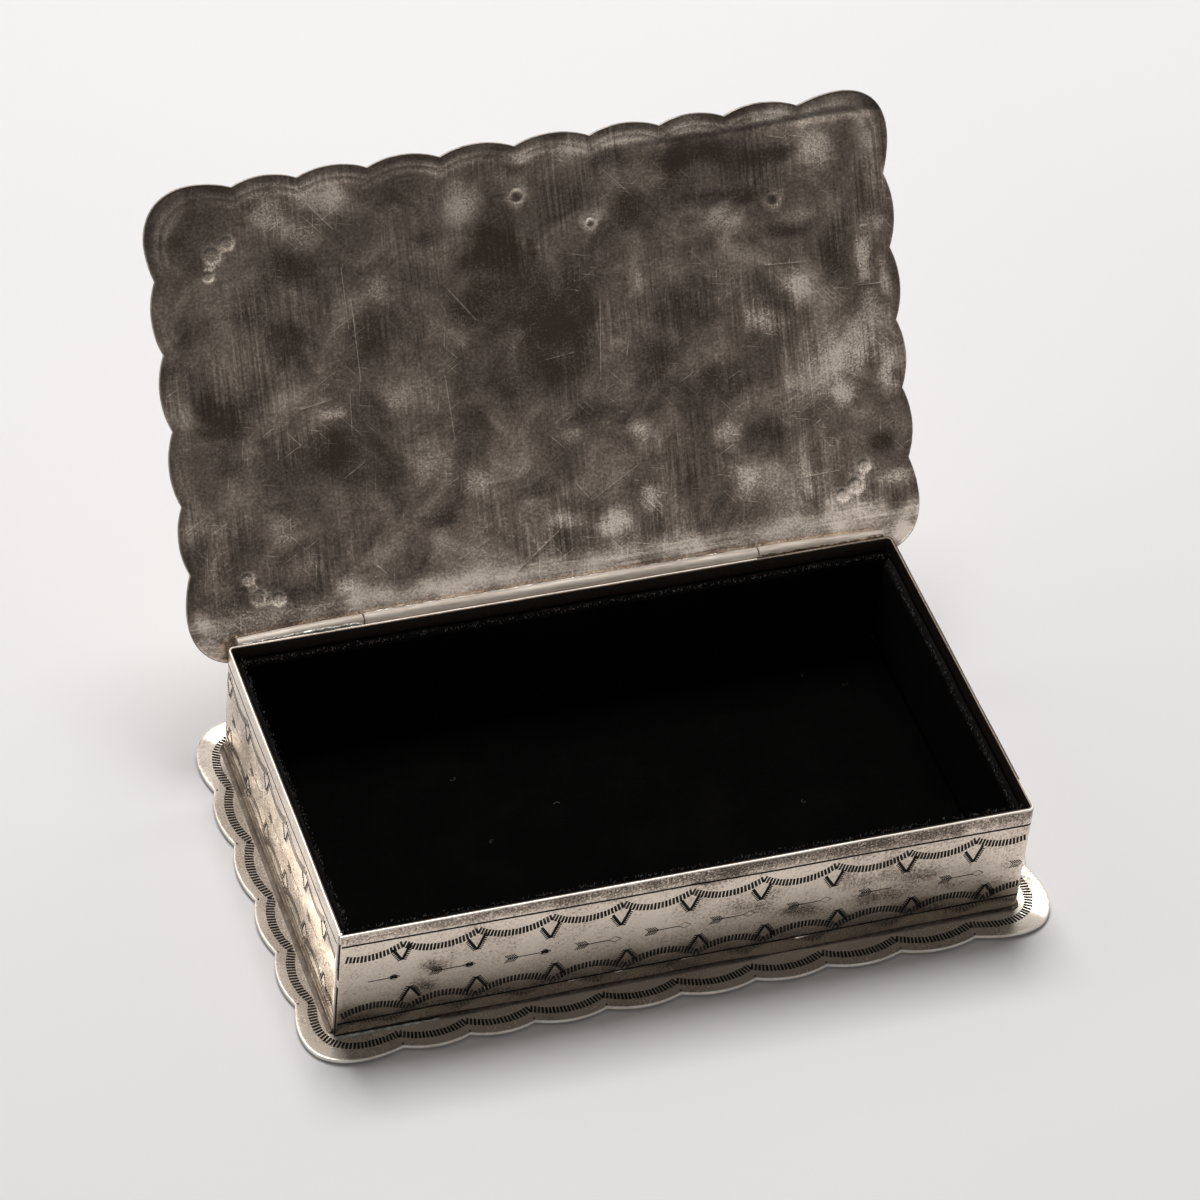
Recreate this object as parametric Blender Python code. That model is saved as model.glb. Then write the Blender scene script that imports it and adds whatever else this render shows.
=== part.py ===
"""Hinged keepsake box of sheet silver with scalloped plates and a velvet lining.

A band of four low walls stands on a scalloped base plate. A scalloped lid plate turns on a
three-knuckle tube hinge behind the back wall, and is held open by its own rear scallops.
Metres, +Z up, +X to the right, the front wall faces -Y. The origin is the middle of the
base plate's underside.
"""

import math

import bmesh
import bpy

# Seats and cuts: the gap that soldered pieces keep, and the running gap of the pin in its tubes.
SEAT_GAP = 0.0003
PIN_CLEARANCE = 0.0002

# Band of walls
BOX_LENGTH = 0.1804
BOX_WIDTH = 0.1036
WALL_HEIGHT = 0.0353
WALL_GAUGE = 0.0009
BEND_RADIUS = 0.0017
SEAM_SLIT = 0.0003
RIM_ROUND = 0.00015
LINE_FROM_EDGE = 0.0043
LINE_WIDTH = 0.0005
LINE_DEPTH = 0.00015

# Plates, measured between the notches of opposite sides, each a little off centre to the right
BASE_LENGTH = 0.1941
BASE_WIDTH = 0.1178
BASE_GAUGE = 0.0010
BASE_SIDE_SHIFT = 0.0004
LID_LENGTH = 0.1950
LID_WIDTH = 0.1190
LID_GAUGE = 0.0010
LID_SIDE_SHIFT = 0.0009
EDGE_ROUND = 0.00018

# Lobes: how far a lobe swells beyond the line between its two notches, as a share of that line.
LOBE_RISE_SHARE = 0.104

# Corners: the curve's handle as a share of the line between the corner's two notches, from front
# right to front left, and the lean at which it leaves each side.
BASE_CORNER_SHARES = (0.635, 0.630, 0.585, 0.630)
LID_CORNER_SHARES = (0.670, 0.620, 0.640, 0.600)
CORNER_LEAN = math.radians(19)

# Notches of each side, as shares of half the plate's length or width, from left to right or
# from front to back. They are a little uneven, as cut by eye.
BASE_FRONT_SHARES = (-0.772, -0.596, -0.425, -0.231, -0.031, 0.172, 0.367, 0.572, 0.779)
BASE_BACK_SHARES = (-0.780, -0.590, -0.398, -0.201, 0.004, 0.199, 0.396, 0.584, 0.779)
BASE_LEFT_SHARES = (-0.667, -0.362, -0.048, 0.290, 0.623)
BASE_RIGHT_SHARES = (-0.655, -0.338, -0.010, 0.322, 0.642)
LID_FRONT_SHARES = (-0.771, -0.597, -0.408, -0.212, -0.009, 0.197, 0.390, 0.570, 0.776)
LID_BACK_SHARES = (-0.776, -0.585, -0.394, -0.203, 0.004, 0.201, 0.392, 0.588, 0.778)
LID_LEFT_SHARES = (-0.647, -0.333, -0.003, 0.324, 0.620)
LID_RIGHT_SHARES = (-0.650, -0.323, -0.000, 0.304, 0.617)

# Hinge
KNUCKLE_RADIUS = 0.0017
KNUCKLE_BORE_RADIUS = 0.0010
KNUCKLE_END_ROUND = 0.00015
HINGE_END_INSET = 0.00245
CENTRE_KNUCKLE_LENGTH = 0.1080
HINGE_SIDE_SHIFT = 0.0008
HINGE_BELOW_RIM = 0.0005
KNUCKLE_GAP = 0.0003
PIN_RECESS = 0.0012
PIN_END_ROUND = 0.0002
LID_REAR_OVERHANG = 0.0064
STOP_GAP = 0.0003

# Velvet
VELVET_THICKNESS = 0.0020
VELVET_ROUND = 0.0006
VELVET_BELOW_RIM = {"front": 0.0012, "back": 0.0036, "left": 0.0016, "right": 0.0038}

# Facets
LOBE_STEPS = 10
CORNER_STEPS = 22
BEND_STEPS = 6
ROUND_STEPS = 2
KNUCKLE_SIDES = 32
PIN_SIDES = 24
RIGHT_ANGLE_EDGE = math.radians(60)
SMOOTH_ANGLE = math.radians(30)

# Heights and hinge place, from the sizes above
FLOOR_LEVEL = BASE_GAUGE
WALL_FOOT = FLOOR_LEVEL + SEAT_GAP
RIM_LEVEL = WALL_FOOT + WALL_HEIGHT
HINGE_LENGTH = BOX_LENGTH - 2 * HINGE_END_INSET
KNUCKLE_STAND_OFF = KNUCKLE_RADIUS + SEAT_GAP
HINGE_Y = BOX_WIDTH / 2 + KNUCKLE_STAND_OFF
HINGE_Z = RIM_LEVEL - HINGE_BELOW_RIM


def clear_scene():
    for item in list(bpy.data.objects):
        bpy.data.objects.remove(item, do_unlink=True)


def make_material(name, colour, metallic, roughness):
    material = bpy.data.materials.new(name)
    material.use_nodes = True
    shader = material.node_tree.nodes["Principled BSDF"]
    shader.inputs["Base Color"].default_value = (*colour, 1.0)
    shader.inputs["Metallic"].default_value = metallic
    shader.inputs["Roughness"].default_value = roughness
    return material


def bright_silver():
    return make_material("bright_silver", (0.66, 0.64, 0.60), 1.0, 0.32)


def brushed_silver():
    return make_material("brushed_silver", (0.60, 0.58, 0.54), 1.0, 0.38)


def tarnished_silver():
    return make_material("tarnished_silver", (0.22, 0.20, 0.18), 1.0, 0.45)


def black_velvet():
    return make_material("black_velvet", (0.006, 0.006, 0.007), 0.0, 0.95)


def add_object(name, shape, material, parent=None):
    """Turns a bmesh into a named object with its faces out and its round faces smooth."""
    bmesh.ops.recalc_face_normals(shape, faces=shape.faces[:])
    mesh = bpy.data.meshes.new(name)
    shape.to_mesh(mesh)
    shape.free()
    mesh.shade_smooth()
    mesh.set_sharp_from_angle(angle=SMOOTH_ANGLE)
    mesh.materials.append(material)
    made = bpy.data.objects.new(name, mesh)
    bpy.context.scene.collection.objects.link(made)
    made.parent = parent
    return made


def round_edges(made, width):
    """Rounds the square edges, and leaves the shallow ones between facets."""
    bevel = made.modifiers.new("edge_round", "BEVEL")
    bevel.width = width
    bevel.segments = ROUND_STEPS
    bevel.limit_method = "ANGLE"
    bevel.angle_limit = RIGHT_ANGLE_EDGE


def arc_between(start, end, rise_share, steps):
    """Points of a circular arc from start up to, not including, end. It swells to the right of
    its run by rise_share of the straight line between them."""
    run_x = end[0] - start[0]
    run_y = end[1] - start[1]
    chord = math.hypot(run_x, run_y)
    rise = rise_share * chord
    radius = (chord * chord / 4 + rise * rise) / (2 * rise)
    out_x = run_y / chord
    out_y = -run_x / chord
    centre_x = (start[0] + end[0]) / 2 + out_x * (rise - radius)
    centre_y = (start[1] + end[1]) / 2 + out_y * (rise - radius)
    first = math.atan2(start[1] - centre_y, start[0] - centre_x)
    last = math.atan2(end[1] - centre_y, end[0] - centre_x)
    sweep = (last - first) % math.tau
    points = []
    for step in range(steps):
        angle = first + sweep * step / steps
        points.append((centre_x + radius * math.cos(angle), centre_y + radius * math.sin(angle)))
    return points


def corner_between(start, end, run, next_run, handle_share, steps):
    """Points of a full, round corner from start up to, not including, end: one cubic curve. It
    leaves along run and comes in along next_run, and leans outwards at both."""
    handle = handle_share * math.dist(start, end)
    along = handle * math.cos(CORNER_LEAN)
    outward = handle * math.sin(CORNER_LEAN)
    first = (start[0] + along * run[0] + outward * run[1], start[1] + along * run[1] - outward * run[0])
    last = (
        end[0] - along * next_run[0] + outward * next_run[1],
        end[1] - along * next_run[1] - outward * next_run[0],
    )
    points = []
    for step in range(steps):
        t = step / steps
        weights = ((1 - t) ** 3, 3 * t * (1 - t) ** 2, 3 * t**2 * (1 - t), t**3)
        pull = (start, first, last, end)
        points.append(tuple(sum(w * p[axis] for w, p in zip(weights, pull)) for axis in (0, 1)))
    return points


def scalloped_outline(length, width, notch_shares, corner_shares):
    """Anticlockwise plan outline of a plate: an arc between each two notches of a side, and a
    larger round at each corner, from the last notch of one side to the first of the next."""
    half_length = length / 2
    half_width = width / 2
    front, right, back, left = notch_shares
    sides = (
        [(share * half_length, -half_width) for share in front],
        [(half_length, share * half_width) for share in right],
        [(share * half_length, half_width) for share in reversed(back)],
        [(-half_length, share * half_width) for share in reversed(left)],
    )
    runs = ((1, 0), (0, 1), (-1, 0), (0, -1))
    points = []
    for number, side in enumerate(sides):
        following = (number + 1) % len(sides)
        for start, end in zip(side, side[1:]):
            points += arc_between(start, end, LOBE_RISE_SHARE, LOBE_STEPS)
        points += corner_between(
            side[-1], sides[following][0], runs[number], runs[following], corner_shares[number], CORNER_STEPS
        )
    return points


def base_outline():
    outline = scalloped_outline(
        BASE_LENGTH,
        BASE_WIDTH,
        (BASE_FRONT_SHARES, BASE_RIGHT_SHARES, BASE_BACK_SHARES, BASE_LEFT_SHARES),
        BASE_CORNER_SHARES,
    )
    return [(x + BASE_SIDE_SHIFT, y) for x, y in outline]


def lid_outline():
    """The closed lid's outline, in its hinge's own frame: the hinge axis is the X axis, and the
    furthest rear lobe reaches the rear overhang behind it."""
    outline = scalloped_outline(
        LID_LENGTH,
        LID_WIDTH,
        (LID_FRONT_SHARES, LID_RIGHT_SHARES, LID_BACK_SHARES, LID_LEFT_SHARES),
        LID_CORNER_SHARES,
    )
    shift_y = LID_REAR_OVERHANG - max(y for x, y in outline)
    return [(x + LID_SIDE_SHIFT, y + shift_y) for x, y in outline]


def open_angle():
    """Turn from closed at which the lid's rear edge comes within the stop gap of the back wall."""
    reach = math.hypot(LID_REAR_OVERHANG, KNUCKLE_STAND_OFF)
    edge_angle = math.atan2(KNUCKLE_STAND_OFF, LID_REAR_OVERHANG)
    return edge_angle + math.acos((STOP_GAP - KNUCKLE_STAND_OFF) / reach)


def closing_tilt():
    """Turn past level at which the closed lid's inner face comes within the stop gap of the front
    rim, as its hinge holds it a little above the back rim."""
    reach = math.hypot(BOX_WIDTH + KNUCKLE_STAND_OFF, HINGE_BELOW_RIM)
    rim_angle = math.asin(HINGE_BELOW_RIM / reach)
    return math.asin((KNUCKLE_STAND_OFF - STOP_GAP) / reach) - rim_angle


def add_plate(name, outline, bottom, gauge, material, parent=None):
    """A flat sheet of that outline and gauge, lightly rounded along its cut edge."""
    shape = bmesh.new()
    rim = [shape.verts.new((x, y, bottom)) for x, y in outline]
    sheet = shape.faces.new(rim)
    extruded = bmesh.ops.extrude_face_region(shape, geom=[sheet])
    top = [item for item in extruded["geom"] if isinstance(item, bmesh.types.BMVert)]
    bmesh.ops.translate(shape, verts=top, vec=(0, 0, gauge))
    made = add_object(name, shape, material, parent)
    round_edges(made, EDGE_ROUND)
    return made


def bend_stations(centre_x, centre_y, first_degrees):
    """Stations round one quarter bend: (outer point, outward normal)."""
    stations = []
    for step in range(BEND_STEPS + 1):
        angle = math.radians(first_degrees + 90 * step / BEND_STEPS)
        normal = (math.cos(angle), math.sin(angle))
        point = (centre_x + BEND_RADIUS * normal[0], centre_y + BEND_RADIUS * normal[1])
        stations.append((point, normal))
    return stations


def band_stations():
    """Stations along the band's outer face, from the front wall's cut end at the seam, round
    three bends, to the left wall's cut end, which stops behind the front wall."""
    half_length = BOX_LENGTH / 2
    half_width = BOX_WIDTH / 2
    bend_x = half_length - BEND_RADIUS
    bend_y = half_width - BEND_RADIUS
    stations = [((-half_length, -half_width), (0, -1))]
    stations += bend_stations(bend_x, -bend_y, -90)
    stations += bend_stations(bend_x, bend_y, 0)
    stations += bend_stations(-bend_x, bend_y, 90)
    stations.append(((-half_length, -half_width + WALL_GAUGE + SEAM_SLIT), (-1, 0)))
    return stations


def engraved_line(height):
    """The section's three points at a line cut in the outer face: (depth, height)."""
    return [
        (0, height - LINE_WIDTH / 2),
        (LINE_DEPTH, height),
        (0, height + LINE_WIDTH / 2),
    ]


def band_section():
    """The wall's cross-section as (depth from the outer face, height above its foot)."""
    section = [(WALL_GAUGE, 0), (0, 0)]
    section += engraved_line(LINE_FROM_EDGE)
    section += engraved_line(WALL_HEIGHT - LINE_FROM_EDGE)
    section += [
        (0, WALL_HEIGHT - RIM_ROUND),
        (RIM_ROUND, WALL_HEIGHT),
        (WALL_GAUGE - RIM_ROUND, WALL_HEIGHT),
        (WALL_GAUGE, WALL_HEIGHT - RIM_ROUND),
    ]
    return section


def add_side_band():
    shape = bmesh.new()
    section = band_section()
    rings = []
    for point, normal in band_stations():
        ring = []
        for depth, height in section:
            place = (point[0] - depth * normal[0], point[1] - depth * normal[1], WALL_FOOT + height)
            ring.append(shape.verts.new(place))
        rings.append(ring)
    corners = len(section)
    for ring, next_ring in zip(rings, rings[1:]):
        for corner in range(corners):
            following = (corner + 1) % corners
            shape.faces.new((ring[corner], ring[following], next_ring[following], next_ring[corner]))
    shape.faces.new(rings[0])
    shape.faces.new(rings[-1])
    return add_object("side_band", shape, brushed_silver())


def add_knuckle(name, middle, length, parent=None):
    """A length of tube along X about the hinge axis, its ends lightly rounded."""
    half = length / 2
    profile = (
        (-half, KNUCKLE_BORE_RADIUS),
        (-half, KNUCKLE_RADIUS - KNUCKLE_END_ROUND),
        (-half + KNUCKLE_END_ROUND, KNUCKLE_RADIUS),
        (half - KNUCKLE_END_ROUND, KNUCKLE_RADIUS),
        (half, KNUCKLE_RADIUS - KNUCKLE_END_ROUND),
        (half, KNUCKLE_BORE_RADIUS),
    )
    shape = bmesh.new()
    rings = []
    for side in range(KNUCKLE_SIDES):
        angle = math.tau * side / KNUCKLE_SIDES
        rings.append(
            [shape.verts.new((middle + x, r * math.cos(angle), r * math.sin(angle))) for x, r in profile]
        )
    corners = len(profile)
    for side in range(KNUCKLE_SIDES):
        ring = rings[side]
        next_ring = rings[(side + 1) % KNUCKLE_SIDES]
        for corner in range(corners):
            following = (corner + 1) % corners
            shape.faces.new((ring[corner], ring[following], next_ring[following], next_ring[corner]))
    made = add_object(name, shape, bright_silver(), parent)
    if parent is None:
        made.location = (0, HINGE_Y, HINGE_Z)
    return made


def add_hinge_pin():
    """The wire through all three knuckles, its ends a little inside the tube."""
    shape = bmesh.new()
    radius = KNUCKLE_BORE_RADIUS - PIN_CLEARANCE
    length = HINGE_LENGTH - 2 * PIN_RECESS
    bmesh.ops.create_cone(
        shape, cap_ends=True, segments=PIN_SIDES, radius1=radius, radius2=radius, depth=length
    )
    made = add_object("hinge_pin", shape, bright_silver())
    made.rotation_euler = (0, math.pi / 2, 0)
    made.location = (HINGE_SIDE_SHIFT, HINGE_Y, HINGE_Z)
    round_edges(made, PIN_END_ROUND)
    return made


def add_hinge(lid_axis):
    outer_length = (HINGE_LENGTH - CENTRE_KNUCKLE_LENGTH) / 2 - KNUCKLE_GAP
    outer_middle = (HINGE_LENGTH - outer_length) / 2
    add_knuckle("hinge_knuckle_left", HINGE_SIDE_SHIFT - outer_middle, outer_length)
    add_knuckle("hinge_knuckle_right", HINGE_SIDE_SHIFT + outer_middle, outer_length)
    add_knuckle("hinge_knuckle_centre", HINGE_SIDE_SHIFT, CENTRE_KNUCKLE_LENGTH, lid_axis)
    add_hinge_pin()


def add_velvet(name, low, high, material):
    """A pad of velvet that fills the box from low to high, with softened edges."""
    shape = bmesh.new()
    bmesh.ops.create_cube(shape, size=1)
    for vert in shape.verts:
        vert.co = [high[i] if vert.co[i] > 0 else low[i] for i in range(3)]
    made = add_object(name, shape, material)
    round_edges(made, VELVET_ROUND)
    return made


def add_linings():
    """A pad on the floor, and one on each wall that stands on the floor pad. The side pads lie
    between the front and the back ones."""
    velvet = black_velvet()
    outer_x = BOX_LENGTH / 2 - WALL_GAUGE - SEAT_GAP
    outer_y = BOX_WIDTH / 2 - WALL_GAUGE - SEAT_GAP
    inner_x = outer_x - VELVET_THICKNESS
    inner_y = outer_y - VELVET_THICKNESS
    side_y = inner_y - SEAT_GAP
    floor = FLOOR_LEVEL + SEAT_GAP
    floor_top = floor + VELVET_THICKNESS
    foot = floor_top + SEAT_GAP
    top = {side: RIM_LEVEL - below for side, below in VELVET_BELOW_RIM.items()}
    add_velvet("floor_lining", (-outer_x, -outer_y, floor), (outer_x, outer_y, floor_top), velvet)
    add_velvet("front_lining", (-outer_x, -outer_y, foot), (outer_x, -inner_y, top["front"]), velvet)
    add_velvet("back_lining", (-outer_x, inner_y, foot), (outer_x, outer_y, top["back"]), velvet)
    add_velvet("left_lining", (-outer_x, -side_y, foot), (-inner_x, side_y, top["left"]), velvet)
    add_velvet("right_lining", (inner_x, -side_y, foot), (outer_x, side_y, top["right"]), velvet)


def add_lid_axis():
    """The empty on the hinge axis that carries the lid, turned back from closed to open."""
    axis = bpy.data.objects.new("lid_axis", None)
    bpy.context.scene.collection.objects.link(axis)
    axis.location = (0, HINGE_Y, HINGE_Z)
    axis.rotation_euler = (-open_angle(), 0, 0)
    return axis


def build():
    clear_scene()
    lid_axis = add_lid_axis()
    add_plate("base_plate", base_outline(), 0, BASE_GAUGE, brushed_silver())
    add_side_band()
    add_plate("lid_plate", lid_outline(), KNUCKLE_STAND_OFF, LID_GAUGE, tarnished_silver(), lid_axis)
    add_hinge(lid_axis)
    add_linings()
    turn = math.degrees(open_angle() + closing_tilt())
    print(f"hinge axis y {HINGE_Y:.6f} z {HINGE_Z:.6f}, turn from open to closed {turn:.4f} degrees")


build()
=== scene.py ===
"""Finished look of the hinged silver keepsake box, open, on a pale studio floor.

Each sheet of silver is rebuilt from a flat layout: its outline, the punch marks cut into it, and
the dents and creases of hand work. A layout is triangulated in the plane, then bent or turned
into place. Metres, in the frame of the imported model. The lid is built about its hinge axis.
"""

import math
import random
from functools import partial

import bpy
from mathutils import Matrix, Vector, noise
from mathutils.geometry import delaunay_2d_cdt


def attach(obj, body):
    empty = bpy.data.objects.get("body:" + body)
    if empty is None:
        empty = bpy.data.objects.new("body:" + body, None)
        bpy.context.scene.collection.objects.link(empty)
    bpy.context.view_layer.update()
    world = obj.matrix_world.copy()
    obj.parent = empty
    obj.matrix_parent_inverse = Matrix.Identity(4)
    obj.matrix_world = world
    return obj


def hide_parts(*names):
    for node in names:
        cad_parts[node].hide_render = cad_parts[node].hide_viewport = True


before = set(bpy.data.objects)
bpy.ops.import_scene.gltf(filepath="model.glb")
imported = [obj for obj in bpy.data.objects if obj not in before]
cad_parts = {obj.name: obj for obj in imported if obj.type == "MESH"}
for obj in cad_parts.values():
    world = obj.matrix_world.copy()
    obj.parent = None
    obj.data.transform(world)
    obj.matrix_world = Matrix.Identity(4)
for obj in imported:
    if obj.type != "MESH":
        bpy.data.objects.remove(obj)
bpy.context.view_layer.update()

MM = 0.001

# Camera, solved from the photograph
CAMERA_PLACE = (-0.37203, -0.88550, 0.97624)
CAMERA_RIGHT = (0.94769109, -0.31016285, 0.07536971)
CAMERA_UP = (0.16070171, 0.66765894, 0.72691575)
CAMERA_FORWARD = (0.27578352, 0.67677954, -0.68257813)
CAMERA_LENS = 160.42
CAMERA_SENSOR = 36.0

# Band of walls
BOX_LENGTH = 0.1804
BOX_WIDTH = 0.1036
WALL_HEIGHT = 0.0353
WALL_GAUGE = 0.0009
BEND_RADIUS = 0.0017
SEAM_SLIT = 0.0008  # opened up by wear, from 0.3 mm
SEAT_GAP = 0.0003
RIM_ROUND = 0.00022
LINE_FROM_EDGE = 0.0043
LINE_WIDTH = 0.00060
LINE_DEPTH = 0.00022

# Plates
BASE_LENGTH = 0.1941
BASE_WIDTH = 0.1178
BASE_SIDE_SHIFT = 0.0004
LID_LENGTH = 0.1950
LID_WIDTH = 0.1190
LID_SIDE_SHIFT = 0.0009
PLATE_GAUGE = 0.0010
EDGE_ROUND = 0.00024
LOBE_RISE_SHARE = 0.104
BASE_CORNER_SHARES = (0.635, 0.630, 0.585, 0.630)
LID_CORNER_SHARES = (0.670, 0.620, 0.640, 0.600)
CORNER_LEAN = math.radians(19)
# Notches along the front, right, back and left of each plate, as shares of its half size
BASE_NOTCHES = (
    (-0.772, -0.596, -0.425, -0.231, -0.031, 0.172, 0.367, 0.572, 0.779),
    (-0.655, -0.338, -0.010, 0.322, 0.642),
    (-0.780, -0.590, -0.398, -0.201, 0.004, 0.199, 0.396, 0.584, 0.779),
    (-0.667, -0.362, -0.048, 0.290, 0.623),
)
LID_NOTCHES = (
    (-0.771, -0.597, -0.408, -0.212, -0.009, 0.197, 0.390, 0.570, 0.776),
    (-0.650, -0.323, -0.000, 0.304, 0.617),
    (-0.776, -0.585, -0.394, -0.203, 0.004, 0.201, 0.392, 0.588, 0.778),
    (-0.647, -0.333, -0.003, 0.324, 0.620),
)
LOBE_STEPS = 14
CORNER_STEPS = 26

# Hinge
KNUCKLE_RADIUS = 0.0017
KNUCKLE_BORE = 0.0010
HINGE_END_INSET = 0.00245
HINGE_SIDE_SHIFT = 0.0008
HINGE_BELOW_RIM = 0.0005
LEFT_JOINT = -0.0537
RIGHT_JOINT = 0.0534
KNUCKLE_GAP = 0.0003
PIN_RADIUS = 0.0008
PIN_RECESS = 0.0012
LID_REAR_OVERHANG = 0.0064
STOP_GAP = 0.0003

# Places that follow from the sizes
WALL_FOOT = PLATE_GAUGE + SEAT_GAP
RIM_LEVEL = WALL_FOOT + WALL_HEIGHT
STAND_OFF = KNUCKLE_RADIUS + SEAT_GAP
HINGE_Y = BOX_WIDTH / 2 + STAND_OFF
HINGE_Z = RIM_LEVEL - HINGE_BELOW_RIM
HINGE_LEFT = HINGE_SIDE_SHIFT - BOX_LENGTH / 2 + HINGE_END_INSET
HINGE_RIGHT = HINGE_SIDE_SHIFT + BOX_LENGTH / 2 - HINGE_END_INSET
LID_REACH = math.hypot(LID_REAR_OVERHANG, STAND_OFF)
OPEN_ANGLE = math.atan2(STAND_OFF, LID_REAR_OVERHANG) + math.acos((STOP_GAP - STAND_OFF) / LID_REACH)
LID_TURN = Matrix.Translation((0, HINGE_Y, HINGE_Z)) @ Matrix.Rotation(-OPEN_ANGLE, 4, "X")

SMOOTH_ANGLE = math.radians(40)


# Camera, lights and floor

def put_in_scene(name, data):
    made = bpy.data.objects.new(name, data)
    bpy.context.scene.collection.objects.link(made)
    return made


def add_camera():
    data = bpy.data.cameras.new("photo_camera")
    data.lens = CAMERA_LENS
    data.sensor_width = CAMERA_SENSOR
    data.clip_start = 0.05
    camera = put_in_scene("photo_camera", data)
    turn = Matrix((CAMERA_RIGHT, CAMERA_UP, -Vector(CAMERA_FORWARD))).transposed()
    camera.matrix_world = Matrix.Translation(CAMERA_PLACE) @ turn.to_4x4()
    bpy.context.scene.camera = camera


LAMP_COLOUR = (1.0, 0.997, 0.995)
# Each lamp's place, its width and height, and its watts
LAMPS = {
    "key_light": ((0.06, 0.74, 1.54), (0.80, 0.75), 24.0),
    "left_light": ((-1.5, 0.9, 1.2), (0.9, 0.9), 2.0),
}


def add_lights():
    """Two soft lamps turned towards the box."""
    for name, (place, size, watts) in LAMPS.items():
        data = bpy.data.lights.new(name, "AREA")
        data.shape = "RECTANGLE"
        data.size, data.size_y = size
        data.energy = watts
        data.color = LAMP_COLOUR
        lamp = put_in_scene(name, data)
        lamp.location = place
        lamp.rotation_euler = (-Vector(place)).to_track_quat("-Z", "Y").to_euler()


# Light of the studio walls: its span along an axis, and its strength at both ends of that
LIGHT_BEHIND = ((-0.10, 0.50), (0.0, 0.49))
LIGHT_LOW = ((0.22, 0.46), (0.80, 0.06))
STUDIO_WHITE = (1.0, 0.99, 0.984)


def add_world():
    """Studio walls: bright behind the box and low on the camera's side, dim above the camera."""
    world = bpy.data.worlds.new("studio")
    bpy.context.scene.world = world
    world.use_nodes = True
    graph = Graph(world.node_tree)
    graph.tree.nodes.clear()
    direction = graph.add("ShaderNodeTexCoord").outputs["Generated"]
    parts = graph.add("ShaderNodeSeparateXYZ", {"Vector": direction}).outputs
    behind = graph.range(parts["Y"], *LIGHT_BEHIND, smooth=True)
    low = graph.range(parts["Z"], *LIGHT_LOW, smooth=True)
    colour = graph.ramp(graph.math("MAXIMUM", behind, low), ((0.0, (0, 0, 0)), (1.0, STUDIO_WHITE)))
    background = graph.add("ShaderNodeBackground", {"Color": colour})
    out = graph.add("ShaderNodeOutputWorld")
    graph.join(background.outputs["Background"], out.inputs["Surface"])


# Places across the floor, and along its sweep with their heights
FLOOR_ACROSS = (-3.0, -1.2, -0.5, -0.2, 0.0, 0.2, 0.5, 1.2, 3.0)
FLOOR_SWEEP = (
    (-3.0, 0), (-1.0, 0), (-0.3, 0), (0, 0), (0.4, 0), (1.2, 0), (2.4, 0), (2.9, 0.12), (3.2, 0.5), (3.3, 1.2),
)
FLOOR_LEVEL = -0.00005


def add_floor():
    """A wide sheet of pale paper that sweeps up far behind the box."""
    verts = [(x, y, z + FLOOR_LEVEL) for y, z in FLOOR_SWEEP for x in FLOOR_ACROSS]
    wide = len(FLOOR_ACROSS)
    starts = [row * wide + column for row in range(len(FLOOR_SWEEP) - 1) for column in range(wide - 1)]
    faces = [(first, first + 1, first + wide + 1, first + wide) for first in starts]
    add_mesh("paper_floor", verts, faces, [paper_material()])


# Node materials

LEVEL_LIGHT = 0.42  # how much paler the level brushing by the hinge is
STAIN_GRAIN = 5.0  # how strongly a stain breaks up into grains


class Graph:
    """Short calls that add and join the nodes of one tree."""

    def __init__(self, tree):
        self.tree = tree

    def join(self, output, socket):
        self.tree.links.new(output, socket)

    def add(self, kind, inputs=None, **settings):
        node = self.tree.nodes.new(kind)
        for name, value in settings.items():
            setattr(node, name, value)
        for name, value in (inputs or {}).items():
            self.put(node.inputs[name], value)
        return node

    def put(self, socket, value):
        if isinstance(value, bpy.types.NodeSocket):
            self.join(value, socket)
        else:
            socket.default_value = value

    def math(self, operation, *values):
        node = self.add("ShaderNodeMath", operation=operation)
        for number, value in enumerate(values):
            self.put(node.inputs[number], value)
        return node.outputs[0]

    def blend(self, first, second, share):
        return self.math("MULTIPLY_ADD", self.math("SUBTRACT", second, first), share, first)

    def range(self, value, source, target, smooth=False):
        ends = dict(zip(("From Min", "From Max", "To Min", "To Max"), (*source, *target)))
        kind = "SMOOTHSTEP" if smooth else "LINEAR"
        return self.add("ShaderNodeMapRange", {"Value": value, **ends}, interpolation_type=kind).outputs["Result"]

    def ramp(self, value, stops):
        """Colour by value, through (value, colour) stops."""
        node = self.add("ShaderNodeValToRGB", {"Fac": value})
        elements = node.color_ramp.elements
        for element, (position, colour) in zip(elements, (stops[0], stops[-1])):
            element.position, element.color = position, (*colour, 1)
        for position, colour in stops[1:-1]:
            elements.new(position).color = (*colour, 1)
        return node.outputs["Color"]

    def noise(self, place, scale, detail=4.0, roughness=0.55, distortion=0.0):
        values = {"Vector": place, "Scale": scale, "Detail": detail}
        values |= {"Roughness": roughness, "Distortion": distortion}
        return self.add("ShaderNodeTexNoise", values).outputs["Fac"]

    def stretched(self, place, scale, turn=0.0):
        """Coordinates scaled along the axes that stand turned by turn."""
        turned = self.add("ShaderNodeMapping", {"Vector": place, "Rotation": (0, 0, turn)}).outputs["Vector"]
        return self.add("ShaderNodeMapping", {"Vector": turned, "Scale": scale}).outputs["Vector"]

    def layout(self):
        return self.add("ShaderNodeUVMap", uv_map="layout").outputs["UV"]

    def own_place(self):
        return self.add("ShaderNodeTexCoord").outputs["Object"]

    def attribute(self, name):
        return self.add("ShaderNodeAttribute", attribute_name=name).outputs["Fac"]

    def bump(self, shader, height, strength, distance):
        node = self.add("ShaderNodeBump", {"Height": height, "Strength": strength, "Distance": distance})
        self.join(node.outputs["Normal"], shader.inputs["Normal"])


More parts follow.
